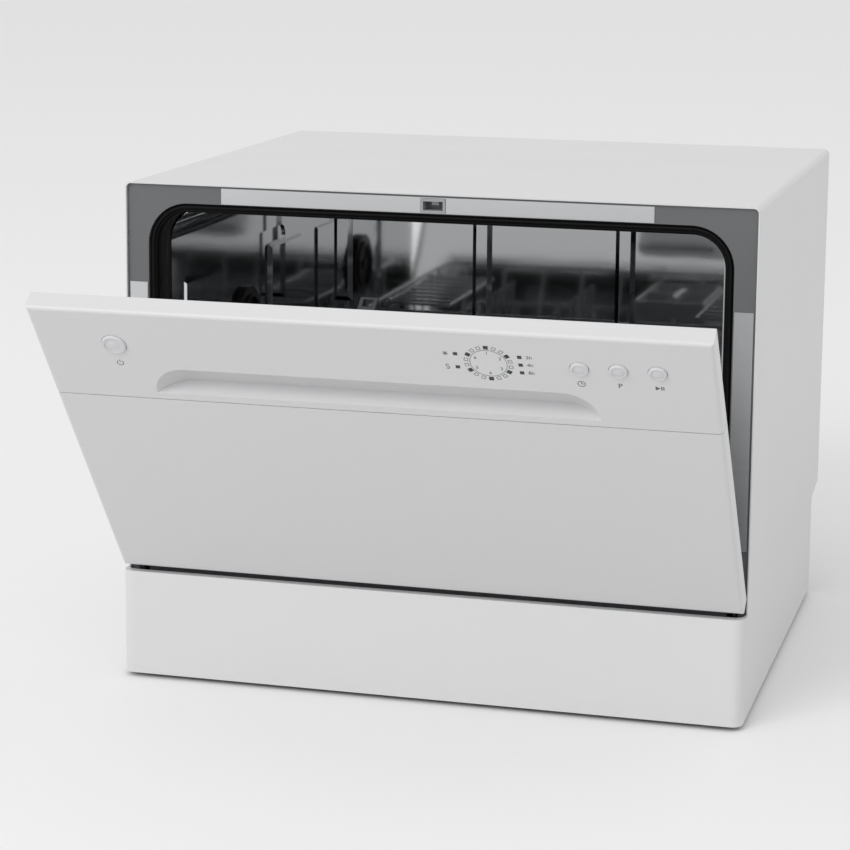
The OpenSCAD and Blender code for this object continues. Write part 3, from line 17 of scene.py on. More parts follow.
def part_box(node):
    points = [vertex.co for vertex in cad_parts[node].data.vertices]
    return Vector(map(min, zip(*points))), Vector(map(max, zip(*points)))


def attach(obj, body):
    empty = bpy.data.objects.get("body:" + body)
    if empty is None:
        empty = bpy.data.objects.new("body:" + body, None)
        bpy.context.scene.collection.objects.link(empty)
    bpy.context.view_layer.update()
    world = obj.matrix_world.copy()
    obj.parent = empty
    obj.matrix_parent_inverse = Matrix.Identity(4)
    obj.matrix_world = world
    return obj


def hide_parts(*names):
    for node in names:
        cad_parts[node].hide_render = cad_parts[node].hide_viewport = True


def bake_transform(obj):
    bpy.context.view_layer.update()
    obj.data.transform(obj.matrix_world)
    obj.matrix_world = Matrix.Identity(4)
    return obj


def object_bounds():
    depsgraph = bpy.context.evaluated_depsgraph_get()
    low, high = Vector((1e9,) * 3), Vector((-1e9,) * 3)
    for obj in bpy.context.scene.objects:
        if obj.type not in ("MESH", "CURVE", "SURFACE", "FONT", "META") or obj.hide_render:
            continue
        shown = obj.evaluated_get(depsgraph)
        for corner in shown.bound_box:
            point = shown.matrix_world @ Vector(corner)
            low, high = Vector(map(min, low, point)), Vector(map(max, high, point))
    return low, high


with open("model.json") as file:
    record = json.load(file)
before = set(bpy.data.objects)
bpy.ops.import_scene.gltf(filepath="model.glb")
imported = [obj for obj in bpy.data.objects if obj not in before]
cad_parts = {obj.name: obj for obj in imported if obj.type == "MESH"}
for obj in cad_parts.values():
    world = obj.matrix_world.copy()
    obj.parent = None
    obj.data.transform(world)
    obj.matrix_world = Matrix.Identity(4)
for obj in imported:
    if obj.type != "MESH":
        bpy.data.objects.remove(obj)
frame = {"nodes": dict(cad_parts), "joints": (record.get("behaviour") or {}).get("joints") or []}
cad_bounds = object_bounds()

# %% [markdown]
# The door tips about a line near its lower edge. The record tells where that line is and
# how far the door has to turn to close, so every place on the door can be given in
# millimetres along the door itself: x across, "up" along its face from the hinge line,
# and "inward" towards the tub.

# %% The door's own directions
MM = 0.001
joints = {joint["name"]: joint for joint in frame["joints"]}
hinge_point = Vector(joints["door_hinge"]["pos_m"])
door_angle = math.radians(-joints["door_hinge"]["range_deg"][0])
door_turn = Matrix.Rotation(door_angle, 3, "X")
door_up = door_turn @ Vector((0, 0, 1))
door_in = door_turn @ Vector((0, 1, 0))


def door_point(x, inward, up):
    """A point on the door, from millimetres along the door's own directions."""
    return hinge_point + Vector((x * MM, 0, 0)) + door_in * inward * MM + door_up * up * MM


print("door stands open by", round(math.degrees(door_angle), 1), "degrees")

# %% [markdown]
# Colours are picked as they look on a screen, as hex values. The renderer counts in
# linear light, so one function turns one into the other. The curve is the usual one of
# sRGB: a straight piece near black, and a power above it.

# %% Colour from a hex value


def linear(hex_value):
    """An sRGB hex colour as linear red, green, blue and alpha."""
    channels = [int(hex_value[i:i + 2], 16) / 255 for i in (1, 3, 5)]
    light = [c / 12.92 if c <= 0.04045 else ((c + 0.055) / 1.055) ** 2.4 for c in channels]
    return (*light, 1.0)


print("mid grey is", round(linear("#808080")[0], 3), "in linear light")

# %% [markdown]
# Every material is a small tree of shader nodes. One helper adds a node, sets its
# properties, and fills its sockets either with a value or with a link from another
# node's output. A second helper starts a material from its Principled shader. The third
# turns the real size of a feature into the scale of a texture.

# %% Helpers for shader nodes


def add_node(tree, kind, sockets=None, **settings):
    """Adds a node; a socket's entry may be a value or another node's output."""
    node = tree.nodes.new(kind)
    for name, value in settings.items():
        setattr(node, name, value)
    for key, value in (sockets or {}).items():
        if isinstance(value, bpy.types.NodeSocket):
            tree.links.new(value, node.inputs[key])
        else:
            node.inputs[key].default_value = value
    return node


def new_material(name, colour, roughness, **sockets):
    """A material with one Principled shader, and the shader itself."""
    material = bpy.data.materials.new(name)
    material.use_nodes = True
    shader = material.node_tree.nodes["Principled BSDF"]
    shader.inputs["Base Color"].default_value = linear(colour)
    shader.inputs["Roughness"].default_value = roughness
    for key, value in sockets.items():
        shader.inputs[key.replace("_", " ")].default_value = value
    return material, shader


def per_metre(size_mm):
    """Texture scale at which a feature is about size_mm wide, in object coordinates."""
    return 1.0 / (size_mm * MM)


print("a pattern of 1 mm has the scale", per_metre(1))

# %% [markdown]
# The cabinet is sheet steel with a baked powder coat. The powder flows out into very
# shallow waves, called orange peel, a millimetre or two across. They are far too shallow
# to see as shape, but they soften the edges of reflections. The coat is an off-white
# with a semi-gloss, and dust and handling vary its gloss a little.

# %% White powder coat


def make_powder_coat():
    """Off-white coat with fine waves in its skin and a gloss that drifts."""
    material, shader = new_material("powder_coated_steel", "#DADADB", 0.4)
    tree = material.node_tree
    place = add_node(tree, "ShaderNodeTexCoord").outputs["Object"]
    # Orange peel waves about 1.8 mm across
    peel = add_node(tree, "ShaderNodeTexNoise",
                    {"Vector": place, "Scale": per_metre(1.8), "Detail": 2.0})
    # Gloss drifts over patches of about 90 mm
    drift = add_node(tree, "ShaderNodeTexNoise",
                     {"Vector": place, "Scale": per_metre(90), "Detail": 3.0})
    gloss = add_node(tree, "ShaderNodeMapRange",
                     {"Value": drift.outputs["Fac"], "To Min": 0.33, "To Max": 0.45})
    bump = add_node(tree, "ShaderNodeBump",
                    {"Height": peel.outputs["Fac"], "Strength": 0.25, "Distance": 0.02 * MM})
    tree.links.new(gloss.outputs["Result"], shader.inputs["Roughness"])
    tree.links.new(bump.outputs["Normal"], shader.inputs["Normal"])
    return material


powder_coat = make_powder_coat()
print("made", powder_coat.name)

# %% [markdown]
# The control panel and the plinth are injection-moulded ABS, and most small parts are
# moulded polypropylene. The mould is etched with a fine grain, so the plastic is a touch
# duller than paint, and evenly so. The grain of the real mould is about 0.15 mm; it is
# drawn at 0.5 mm or more so that it shows at all. The polished buttons have the shallowest
# grain, and the dull grey parts the deepest.

# %% Moulded plastic


def make_plastic(name, colour, roughness, grain_mm, depth_mm):
    """Moulded plastic with grain of that width and depth, and slightly uneven gloss."""
    material, shader = new_material(name, colour, roughness)
    tree = material.node_tree
    place = add_node(tree, "ShaderNodeTexCoord").outputs["Object"]
    grain = add_node(tree, "ShaderNodeTexNoise",
                     {"Vector": place, "Scale": per_metre(grain_mm),
                      "Detail": 3.0, "Roughness": 0.6})
    # The flow of the melt leaves patches of about 60 mm
    flow = add_node(tree, "ShaderNodeTexNoise",
                    {"Vector": place, "Scale": per_metre(60), "Detail": 2.0})
    gloss = add_node(tree, "ShaderNodeMapRange",
                     {"Value": flow.outputs["Fac"],
                      "To Min": roughness - 0.05, "To Max": roughness + 0.06})
    bump = add_node(tree, "ShaderNodeBump",
                    {"Height": grain.outputs["Fac"], "Strength": 0.3, "Distance": depth_mm * MM})
    tree.links.new(gloss.outputs["Result"], shader.inputs["Roughness"])
    tree.links.new(bump.outputs["Normal"], shader.inputs["Normal"])
    return material


panel_abs = make_plastic("etched_white_abs", "#DADADB", 0.36, 0.5, 0.015)
button_abs = make_plastic("polished_button_abs", "#D6D6D8", 0.24, 0.8, 0.006)
grey_pp = make_plastic("grey_polypropylene", "#6A6E73", 0.48, 0.6, 0.03)
pale_pp = make_plastic("pale_grey_polypropylene", "#C3C6C9", 0.42, 0.6, 0.02)
milky_pp = make_plastic("milky_polypropylene", "#D6D5CA", 0.5, 0.8, 0.03)
latch_pp = make_plastic("mid_grey_polypropylene", "#A2A5A8", 0.42, 0.6, 0.02)
black_pp = make_plastic("black_polypropylene", "#1B1C1E", 0.42, 0.6, 0.03)
print("made two kinds of ABS and five of polypropylene")

# %% [markdown]
# The tub and the door's liner are pressed from cold-rolled stainless steel with a bright
# finish, so they mirror each other. Rolling leaves faint lines in one direction, which
# stretch reflections across them, and pressing leaves the sheet a little wavy. A metal
# keeps the default IOR, its colour is its reflectance, and the rest is roughness and bump.
# The same tree, duller, makes the zinc-plated, blackened and oiled steel of small parts.

# %% Steel


def make_steel(name, colour, roughness, line_mm, turn_x, wave_mm):
    """Rolled steel, whose lines run along x on a sheet that is turned about x."""
    material, shader = new_material(name, colour, roughness, Metallic=1.0)
    tree = material.node_tree
    place = add_node(tree, "ShaderNodeTexCoord").outputs["Object"]
    turned = add_node(tree, "ShaderNodeMapping", {"Vector": place, "Rotation": (-turn_x, 0, 0)})
    # Rolling lines are long in x and line_mm wide across
    stretched = add_node(tree, "ShaderNodeMapping",
                         {"Vector": turned.outputs["Vector"], "Scale": (0.02, 1, 1)})
    lines = add_node(tree, "ShaderNodeTexNoise",
                     {"Vector": stretched.outputs["Vector"],
                      "Scale": per_metre(line_mm), "Detail": 2.0})
    # Pressing leaves waves of about 70 mm
    waves = add_node(tree, "ShaderNodeTexNoise",
                     {"Vector": place, "Scale": per_metre(70), "Detail": 1.0})
    gloss = add_node(tree, "ShaderNodeMapRange",
                     {"Value": lines.outputs["Fac"],
                      "To Min": roughness * 0.75, "To Max": roughness * 1.4})
    fine = add_node(tree, "ShaderNodeBump",
                    {"Height": lines.outputs["Fac"], "Strength": 0.1, "Distance": 0.004 * MM})
    soft = add_node(tree, "ShaderNodeBump",
                    {"Height": waves.outputs["Fac"], "Strength": 0.5, "Distance": wave_mm * MM,
                     "Normal": fine.outputs["Normal"]})
    tree.links.new(gloss.outputs["Result"], shader.inputs["Roughness"])
    tree.links.new(soft.outputs["Normal"], shader.inputs["Normal"])
    return material


tub_steel = make_steel("bright_rolled_stainless", "#D6D7D8", 0.055, 1.2, 0.0, 0.2)
liner_steel = make_steel("bright_liner_stainless", "#D6D7D8", 0.07, 1.2, door_angle, 0.2)
strip_steel = make_steel("satin_stainless_strip", "#C2C3C4", 0.34, 0.8, 0.0, 0.02)
plain_steel = make_steel("zinc_plated_steel", "#A9ACB0", 0.36, 2.0, 0.0, 0.1)
dark_steel = make_steel("blackened_steel", "#54575A", 0.3, 1.5, door_angle, 0.05)
spring_steel = make_steel("oiled_spring_steel", "#8B8E92", 0.3, 1.0, 0.0, 0.02)
print("made three kinds of stainless steel and three of plain steel")

# %% [markdown]
# The rear panel is hot-dip galvanised sheet that nobody paints, because nobody sees it.
# The zinc freezes in flat crystals some 8 mm across, called spangle, each with its own
# dull shade. A Voronoi texture gives each cell one colour, and a ramp turns it to a grey.

# %% Galvanised sheet


def make_galvanised():
    """Zinc spangle: each crystal has its own grey and its own gloss."""
    material, shader = new_material("galvanised_sheet", "#A8ABAE", 0.42, Metallic=1.0)
    tree = material.node_tree
    place = add_node(tree, "ShaderNodeTexCoord").outputs["Object"]
    spangle = add_node(tree, "ShaderNodeTexVoronoi", {"Vector": place, "Scale": per_metre(8)})
    grey = add_node(tree, "ShaderNodeRGBToBW", {"Color": spangle.outputs["Color"]})
    shade = add_node(tree, "ShaderNodeValToRGB", {"Fac": grey.outputs["Val"]})
    shade.color_ramp.elements[0].color = linear("#9A9DA1")
    shade.color_ramp.elements[1].color = linear("#B8BBBE")
    gloss = add_node(tree, "ShaderNodeMapRange",
                     {"Value": grey.outputs["Val"], "To Min": 0.32, "To Max": 0.5})
    tree.links.new(shade.outputs["Color"], shader.inputs["Base Color"])
    tree.links.new(gloss.outputs["Result"], shader.inputs["Roughness"])
    return material


galvanised = make_galvanised()
print("made", galvanised.name)

# %% [markdown]
# The gasket, the lower seal and the feet are rubber. Rubber is dark and dull, dust greys
# it in patches, and its skin is finely pebbled from the mould. The steel frame round the
# opening has a dark grey satin coat, which looks like a moulded plastic and so comes from
# the same function.

# %% Rubber and the frame's dark coat


def make_rubber(name, colour, dust_colour, roughness):
    """Dull rubber with dusty patches and a fine skin."""
    material, shader = new_material(name, colour, roughness, Specular_IOR_Level=0.15)
    tree = material.node_tree
    place = add_node(tree, "ShaderNodeTexCoord").outputs["Object"]
    # Dust lies in patches of about 12 mm
    dust = add_node(tree, "ShaderNodeTexNoise",
                    {"Vector": place, "Scale": per_metre(12), "Detail": 4.0})
    shade = add_node(tree, "ShaderNodeValToRGB", {"Fac": dust.outputs["Fac"]})
    shade.color_ramp.elements[0].color = linear(colour)
    shade.color_ramp.elements[1].color = linear(dust_colour)
    skin = add_node(tree, "ShaderNodeTexNoise",
                    {"Vector": place, "Scale": per_metre(0.7), "Detail": 2.0})
    bump = add_node(tree, "ShaderNodeBump",
                    {"Height": skin.outputs["Fac"], "Strength": 0.3, "Distance": 0.04 * MM})
    tree.links.new(shade.outputs["Color"], shader.inputs["Base Color"])
    tree.links.new(bump.outputs["Normal"], shader.inputs["Normal"])
    return material


frame_coat = make_plastic("dark_satin_frame_coat", "#66686A", 0.38, 1.6, 0.02)
seal_rubber = make_rubber("black_seal_rubber", "#050505", "#0B0B0B", 0.6)
foot_rubber = make_rubber("dark_foot_rubber", "#1A1A1B", "#262728", 0.62)
print("made", frame_coat.name, seal_rubber.name, foot_rubber.name)

# %% [markdown]
# The circuit board is glass-fibre laminate under green lacquer, with rows of copper
# tracks below it that show as a paler green. A brick texture draws the rows.

# %% Circuit board


def make_circuit_board():
    """Green lacquer over rows of tracks, in cells of 5 mm by 2.5 mm."""
    material, shader = new_material("green_lacquered_board", "#1E4A2E", 0.3)
    tree = material.node_tree
    place = add_node(tree, "ShaderNodeTexCoord").outputs["Object"]
    tracks = add_node(tree, "ShaderNodeTexBrick",
                      {"Vector": place, "Scale": per_metre(10), "Mortar Size": 0.06,
                       "Color1": linear("#1E4A2E"), "Color2": linear("#235234"),
                       "Mortar": linear("#2E6A44")})
    tree.links.new(tracks.outputs["Color"], shader.inputs["Base Color"])
    return material


board_lacquer = make_circuit_board()
print("made", board_lacquer.name)

# %% [markdown]
# The basket is steel wire dipped in nylon powder. The coat is soft grey, smooth, and a
# bit thicker in the corners. The lamps are dark clear plastic rods. The signs on the
# panel are printed in grey ink, and the windows round the lamps in near-black ink. All
# four are plastics with little or no grain.

# %% Wire coat, lamps and ink
wire_coat = make_plastic("grey_nylon_wire_coat", "#B4B8BC", 0.34, 1.2, 0.02)
lamp_plastic = make_plastic("dark_clear_lamp_plastic", "#3A3C3E", 0.18, 1.0, 0.002)
panel_ink = make_plastic("grey_panel_ink", "#54575A", 0.55, 0.4, 0.005)
window_ink = make_plastic("black_panel_ink", "#1C1D1F", 0.4, 0.4, 0.005)
print("made", wire_coat.name, lamp_plastic.name, panel_ink.name, window_ink.name)

# %% [markdown]
# Each CAD piece now gets the material of the real one. A CAD piece keeps its mesh and its
# place, so only its material slots are filled. The list runs by finish, which shows at a
# glance what is made of the same stuff.

# %% Dress the CAD pieces
finishes = {
    powder_coat: ["cabinet_wrap", "outer_door_panel"],
    panel_abs: ["control_panel", "plinth"],
    button_abs: ["power_button", "delay_button", "program_button", "start_button"],
    galvanised: ["rear_panel"],
    frame_coat: ["front_frame"],
    strip_steel: ["top_trim_strip", "side_trim_strips"],
    tub_steel: ["tub", "tub_floor", "filter_plate", "flow_heater"],
    liner_steel: ["inner_door_panel"],
    plain_steel: ["rear_screws", "hinge_brackets", "hinge_arms"],
    dark_steel: ["door_striker"],
    spring_steel: ["hinge_springs"],
    seal_rubber: ["door_gasket", "lower_door_seal"],
    foot_rubber: ["levelling_feet", "cord_gland"],
    latch_pp: ["door_latch"],
    black_pp: ["vent_cap", "circulation_pump", "drain_pump", "float_switch"],
    milky_pp: ["air_breather", "sump", "softener_tank"],
    grey_pp: ["base_tray", "drain_hose", "drain_outlet", "spray_arm", "salt_cap", "float_dome",
              "wheel_front_left", "wheel_front_right", "wheel_rear_left", "wheel_rear_right"],
    pale_pp: ["latch_catch", "coarse_filter", "spray_hub", "inlet_valve", "dispenser_body",
              "detergent_lid", "lid_latch", "rinse_aid_cap", "cutlery_basket"],
    wire_coat: ["basket_frame", "plate_tines", "cup_shelf_left", "cup_shelf_right"],
    board_lacquer: ["control_board"],
    lamp_plastic: ["indicator_lights"],
}
dressed = set()
for material, names in finishes.items():
    for name in names:
        for holder in frame["nodes"][name].material_slots:
            holder.material = material
        dressed.add(name)
print("dressed", len(dressed), "left bare:", sorted(set(frame["nodes"]) - dressed))

# %% [markdown]
# New pieces start as a bmesh, which holds points, edges and faces and is shaped with the
# same tools as in the editor. One helper turns a finished bmesh into an object that sits
# at the origin, unturned, with its place in its mesh. The next also lets it ride on a body.

# %% From bmesh to piece


def make_object(name, bm, material, smooth=False):
    """A finished bmesh as an object at the origin, with one material."""
    mesh = bpy.data.meshes.new(name)
    bm.to_mesh(mesh)
    bm.free()
    mesh.materials.append(material)
    for polygon in mesh.polygons:
        polygon.use_smooth = smooth
    made = bpy.data.objects.new(name, mesh)
    bpy.context.scene.collection.objects.link(made)
    return made


def make_piece(name, bm, material, body, smooth=False):
    """A finished bmesh as a piece that rides on a body."""
    bmesh.ops.recalc_face_normals(bm, faces=bm.faces)
    piece = make_object(name, bm, material, smooth)
    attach(piece, body)
    print(name, "has", len(piece.data.polygons), "faces")
    return piece


print("ready to make pieces")

# %% [markdown]
# A bmesh operator returns some of what it made, and the next one may need the faces or
# edges that belong to those points. These short helpers find them, each once and always
# in the same order, so that the script gives the same mesh each time.

# %% From points to edges and faces


def faces_of(verts):
    """The faces that meet at these points."""
    return list(dict.fromkeys(face for vert in verts for face in vert.link_faces))


def edges_of(verts):
    """The edges that meet at these points."""
    return list(dict.fromkeys(edge for vert in verts for edge in vert.link_edges))


def verts_of(faces):
    """The points of these faces."""
    return list(dict.fromkeys(vert for face in faces for vert in face.verts))


def turn_and_move(bm, verts, centre, turn=0.0):
    """Turns flat points about the drawing's middle, in degrees, and moves them to centre."""
    bmesh.ops.rotate(bm, verts=verts, cent=(0, 0, 0),
                     matrix=Matrix.Rotation(math.radians(turn), 3, "Z"))
    bmesh.ops.translate(bm, verts=verts, vec=(*centre, 0))


print("ready to draw")

# %% [markdown]
# The signs on the panel are pad-printed, so each is a film of ink. They are drawn flat,
# x to the right and y up, in millimetres, and one matrix lays them on the door's face.
# The film is 0.1 mm thick here, much more than real ink, and sunk a little into the
# panel, so that no face of it falls together with the panel's.

# %% The door's face and the film of ink
FACE_IN = -9
INK_THICK = 0.1
INK_SUNK = 0.03


def on_face(x, up):
    """Matrix from a flat drawing in millimetres to the door's face at that place."""
    across = Vector((1, 0, 0))
    turn = Matrix((across, door_up, -door_in)).transposed().to_4x4()
    return Matrix.Translation(door_point(x, FACE_IN, up)) @ turn @ Matrix.Scale(MM, 4)


def ink_up(bm, faces):
    """Gives flat faces the thickness of the ink film."""
    grown = bmesh.ops.extrude_face_region(bm, geom=faces)["geom"]
    tops = [part for part in grown if isinstance(part, bmesh.types.BMVert)]
    bmesh.ops.translate(bm, verts=tops, vec=(0, 0, INK_THICK))
    bmesh.ops.translate(bm, verts=verts_of(faces), vec=(0, 0, -INK_SUNK))


def print_sign(name, bm, x, up, ink=panel_ink):
    """Lays a finished drawing on the door's face at that place."""
    bm.transform(on_face(x, up))
    return make_piece(name, bm, ink, "door")


print("the ink film is", INK_THICK, "mm thick")

# %% [markdown]
# All signs are made of a few kinds of stroke. A curved one is a short edge that is spun
# about a centre, a straight one is a stretched square, and a triangle is a circle with
# three sides.

# %% Strokes


def ink_arc(bm, radius, width, start, end, centre=(0, 0), steps=48):
    """A curved stroke from one angle to another, in degrees; 360 or more closes it."""
    ends = [bm.verts.new((radius + side * width / 2, 0, 0)) for side in (-1, 1)]
    edge = bm.edges.new(ends)
    turn_and_move(bm, ends, (0, 0), start)
    before = set(bm.faces)
    bmesh.ops.spin(bm, geom=ends + [edge], cent=(0, 0, 0), axis=(0, 0, 1), dvec=(0, 0, 0),
                   angle=math.radians(end - start), steps=steps,
                   use_merge=end - start >= 360, use_duplicate=False)
    faces = [face for face in bm.faces if face not in before]
    turn_and_move(bm, verts_of(faces), centre)
    ink_up(bm, faces)


def ink_bar(bm, width, height, centre=(0, 0), turn=0.0):
    """A straight stroke, turned by degrees."""
    verts = bmesh.ops.create_grid(bm, x_segments=1, y_segments=1, size=0.5)["verts"]
    bmesh.ops.scale(bm, verts=verts, vec=(width, height, 1))
    turn_and_move(bm, verts, centre, turn)
    ink_up(bm, faces_of(verts))


def ink_triangle(bm, size, centre=(0, 0)):
    """A filled triangle that points to the right."""
    verts = bmesh.ops.create_circle(bm, segments=3, radius=size / 2, cap_ends=True)["verts"]
    turn_and_move(bm, verts, centre, -90)
    ink_up(bm, faces_of(verts))


print("strokes: arc, bar and triangle")

# %% [markdown]
# The usual power sign is a ring that is open at the top, with a stroke through the gap.
# It sits under the large button. Of the small buttons, the first delays the start and has
# a clock, and the last starts and pauses and has a triangle with two bars.

# %% Signs under the buttons
stroke = 0.55
power_x = -208
power_sign_up = 271
power_gap = 70
small_button_xs = (169, 199, 229)
small_sign_up = 278.7

power_sign = bmesh.new()
ink_arc(power_sign, radius=2.7, width=stroke, start=90 + power_gap / 2, end=450 - power_gap / 2)
ink_bar(power_sign, width=stroke, height=3.0, centre=(0, 2.1))
print_sign("power_sign", power_sign, power_x, power_sign_up)

clock_sign = bmesh.new()
ink_arc(clock_sign, radius=2.9, width=stroke, start=0, end=360)
ink_bar(clock_sign, width=stroke, height=2.0, centre=(0, 0.9))
ink_bar(clock_sign, width=1.6, height=stroke, centre=(0.8, 0))
print_sign("clock_sign", clock_sign, small_button_xs[0], small_sign_up)

start_sign = bmesh.new()
ink_triangle(start_sign, size=5.0, centre=(-1.8, 0))
for bar_x in (1.6, 3.2):
    ink_bar(start_sign, width=0.8, height=4.0, centre=(bar_x, 0))
print_sign("start_pause_sign", start_sign, small_button_xs[2], small_sign_up)

# %% [markdown]
# Letters start as a text object with Blender's own plain font. It is made into a mesh,
# and only then laid on the door, so that nothing depends on the object's own place. The
# font's size counts the whole line, and a capital is shorter. The middle one of the small
# buttons picks the program and has a P.

# %% Letters and numbers
LINE_PER_CAPITAL = 1.38
SAME_POINT = 0.001


def ink_text(bm, text, height, centre=(0, 0)):
    """Adds letters of that height, centred, to the drawing."""
    curve = bpy.data.curves.new("letters", "FONT")
    curve.body = text
    curve.size = height * LINE_PER_CAPITAL
    curve.align_x = "CENTER"
    curve.align_y = "CENTER"
    curve.resolution_u = 4
    holder = bpy.data.objects.new("letters", curve)
    bpy.context.scene.collection.objects.link(holder)
    bpy.context.view_layer.update()
    letters = bpy.data.meshes.new_from_object(holder)
    bpy.data.objects.remove(holder)
    before = set(bm.faces)
    bm.from_mesh(letters)
    loose = [face for face in bm.faces if face not in before]
    bmesh.ops.remove_doubles(bm, verts=verts_of(loose), dist=SAME_POINT)
    faces = [face for face in bm.faces if face not in before]
    turn_and_move(bm, verts_of(faces), centre)
    ink_up(bm, faces)


program_sign = bmesh.new()
ink_text(program_sign, "P", height=5.2)
print_sign("program_sign", program_sign, small_button_xs[1], small_sign_up)

# %% [markdown]
# The program display is a ring of eighteen small squares. Every third one is a lamp with
# a dark window, and between two lamps there are two hollow squares. A thin circle runs
# inside it, and a number tells which program each lamp stands for. A hollow square is a
# square face that is inset, and whose middle is taken out.

# %% The program ring
ring_x = 98.5
ring_up = 296.2
ring_radius = 17.6
circle_radius = 14.6
number_radius = 11.2
number_height = 3.2
lamps = 6
squares_per_lamp = 3
places = lamps * squares_per_lamp


def ink_frame(bm, size, width, centre=(0, 0), turn=0.0):
    """The outline of a square, turned by degrees."""
    verts = bmesh.ops.create_grid(bm, x_segments=1, y_segments=1, size=size / 2)["verts"]
    middle = faces_of(verts)
    rims = bmesh.ops.inset_region(bm, faces=middle, thickness=width, use_even_offset=True,
                                  use_boundary=True)["faces"]
    bmesh.ops.delete(bm, geom=middle, context="FACES_ONLY")
    turn_and_move(bm, verts_of(rims), centre, turn)
    ink_up(bm, rims)


def on_ring(radius, place):
    """A point at that place of the ring, counted clockwise from the top, and its angle."""
    angle = 90 - place * 360 / places
    point = (radius * math.cos(math.radians(angle)), radius * math.sin(math.radians(angle)))
    return point, angle


ring = bmesh.new()
windows = bmesh.new()
for place in range(places):
    point, angle = on_ring(ring_radius, place)
    if place % squares_per_lamp == 0:
        ink_frame(windows, size=3.8, width=0.8, centre=point, turn=angle)
    else:
        ink_frame(ring, size=3.3, width=0.4, centre=point, turn=angle)
ink_arc(ring, circle_radius, width=0.35, start=0, end=360, steps=96)
for lamp in range(lamps):
    point, angle = on_ring(number_radius, lamp * squares_per_lamp)
    ink_text(ring, str(lamp + 1), number_height, point)
print_sign("program_ring", ring, ring_x, ring_up)

# %% [markdown]
# Beside the ring, three lamps at the right show a delay of 2, 4 or 8 hours, and two lamps
# at the left warn that rinse aid or salt runs low. Salt is shown as two turning strokes,
# and rinse aid as a star of three strokes.

# %% Lamp signs
lamp_stroke = 0.6
delay_lamp_x = 25.2
delay_text_x = 32.6
delay_rows = (0.5 * ring_radius, 0.0, -0.5 * ring_radius)
warning_lamp_x = -25.0
warning_sign_x = -33.0
rinse_row = 0.5 * ring_radius
salt_row = -0.35 * ring_radius

lamp_signs = bmesh.new()
for text, row in zip(("2h", "4h", "8h"), delay_rows):
    ink_text(lamp_signs, text, height=3.6, centre=(delay_text_x, row))
    ink_frame(windows, size=3.4, width=lamp_stroke, centre=(delay_lamp_x, row))
for row in (rinse_row, salt_row):
    ink_frame(windows, size=3.4, width=lamp_stroke, centre=(warning_lamp_x, row))
print_sign("lamp_windows", windows, ring_x, ring_up, window_ink)
for start, end, rise in ((30, 270, 1.2), (210, 450, -1.2)):
    ink_arc(lamp_signs, radius=1.3, width=lamp_stroke, start=start, end=end,
            centre=(warning_sign_x, salt_row + rise), steps=16)
for turn in (0, 60, 120):
    ink_bar(lamp_signs, width=4.8, height=lamp_stroke,
            centre=(warning_sign_x, rinse_row), turn=turn)
print_sign("lamp_signs", lamp_signs, ring_x, ring_up)

# %% [markdown]
# Two springs in the base pull on the tails of the hinge arms and balance the door. Each
# is wound closely from round wire. The wire's section is a small circle. It is spun about
# the spring's axis and moved along it at the same time, which makes the whole helix in
# one step. A straight piece of wire leads from the coil to each end, where a flat ring
# stands for the hook.

# %% Wire for the springs
wire_radius = 1.25 * MM
wire_sides = 10
coil_radius = 6.6 * MM
coil_spacing = 2.25 * wire_radius
coil_steps = 16
ring_middle = 4.4 * MM


def wire_section(bm, place):
    """A circle of wire that faces along y at that place, with its edges, ready to spin."""
    verts = bmesh.ops.create_circle(bm, segments=wire_sides, radius=wire_radius)["verts"]
    bmesh.ops.rotate(bm, verts=verts, cent=(0, 0, 0),
                     matrix=Matrix.Rotation(math.pi / 2, 3, "X"))
    bmesh.ops.translate(bm, verts=verts, vec=place)
    return verts + edges_of(verts)


def wind_coil(bm, low, high):
    """Closely wound turns about z from low to high; returns their number."""
    turns = int((high - low) / coil_spacing)
    rise = (high - low) / turns / coil_steps
    bmesh.ops.spin(bm, geom=wire_section(bm, (coil_radius, 0, low)), cent=(0, 0, 0),
                   axis=(0, 0, 1), dvec=(0, 0, rise), angle=math.tau * turns,
                   steps=coil_steps * turns, use_merge=False, use_duplicate=False)
    rims = [edge for edge in bm.edges if edge.is_boundary]
    bmesh.ops.holes_fill(bm, edges=rims, sides=2 * wire_sides)
    return turns


def add_straight_wire(bm, low, high):
    """A straight piece of wire on the spring's axis."""
    rod = bmesh.ops.create_cone(bm, cap_ends=True, segments=wire_sides, radius1=wire_radius,
                                radius2=wire_radius, depth=high - low)["verts"]
    bmesh.ops.translate(bm, verts=rod, vec=(0, 0, (low + high) / 2))


def add_end_ring(bm, height):
    """A flat ring across y at one end of the spring."""
    bmesh.ops.spin(bm, geom=wire_section(bm, (ring_middle, 0, height)), cent=(0, 0, height),
                   axis=(0, 1, 0), dvec=(0, 0, 0), angle=math.tau, steps=20,
                   use_merge=True, use_duplicate=False)


print("the wire is", 2 * wire_radius / MM, "mm thick")

# %% [markdown]
# One end of a spring hooks into the base behind the hinge, at the height where the CAD
# spring ends, and the other into the tail of a hinge arm. The springs stretch when the
# door moves, so neither is attached to the cabinet or to the door.

# %% Hinge springs
tail_in = 36
tail_up = -22
spring_span = 150 * MM
hook_length = 30 * MM
ring_reach = 4 * MM
anchor_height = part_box("hinge_springs")[0].z + 3 * MM
arm_middle_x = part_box("hinge_arms")[1].x - 1.5 * MM


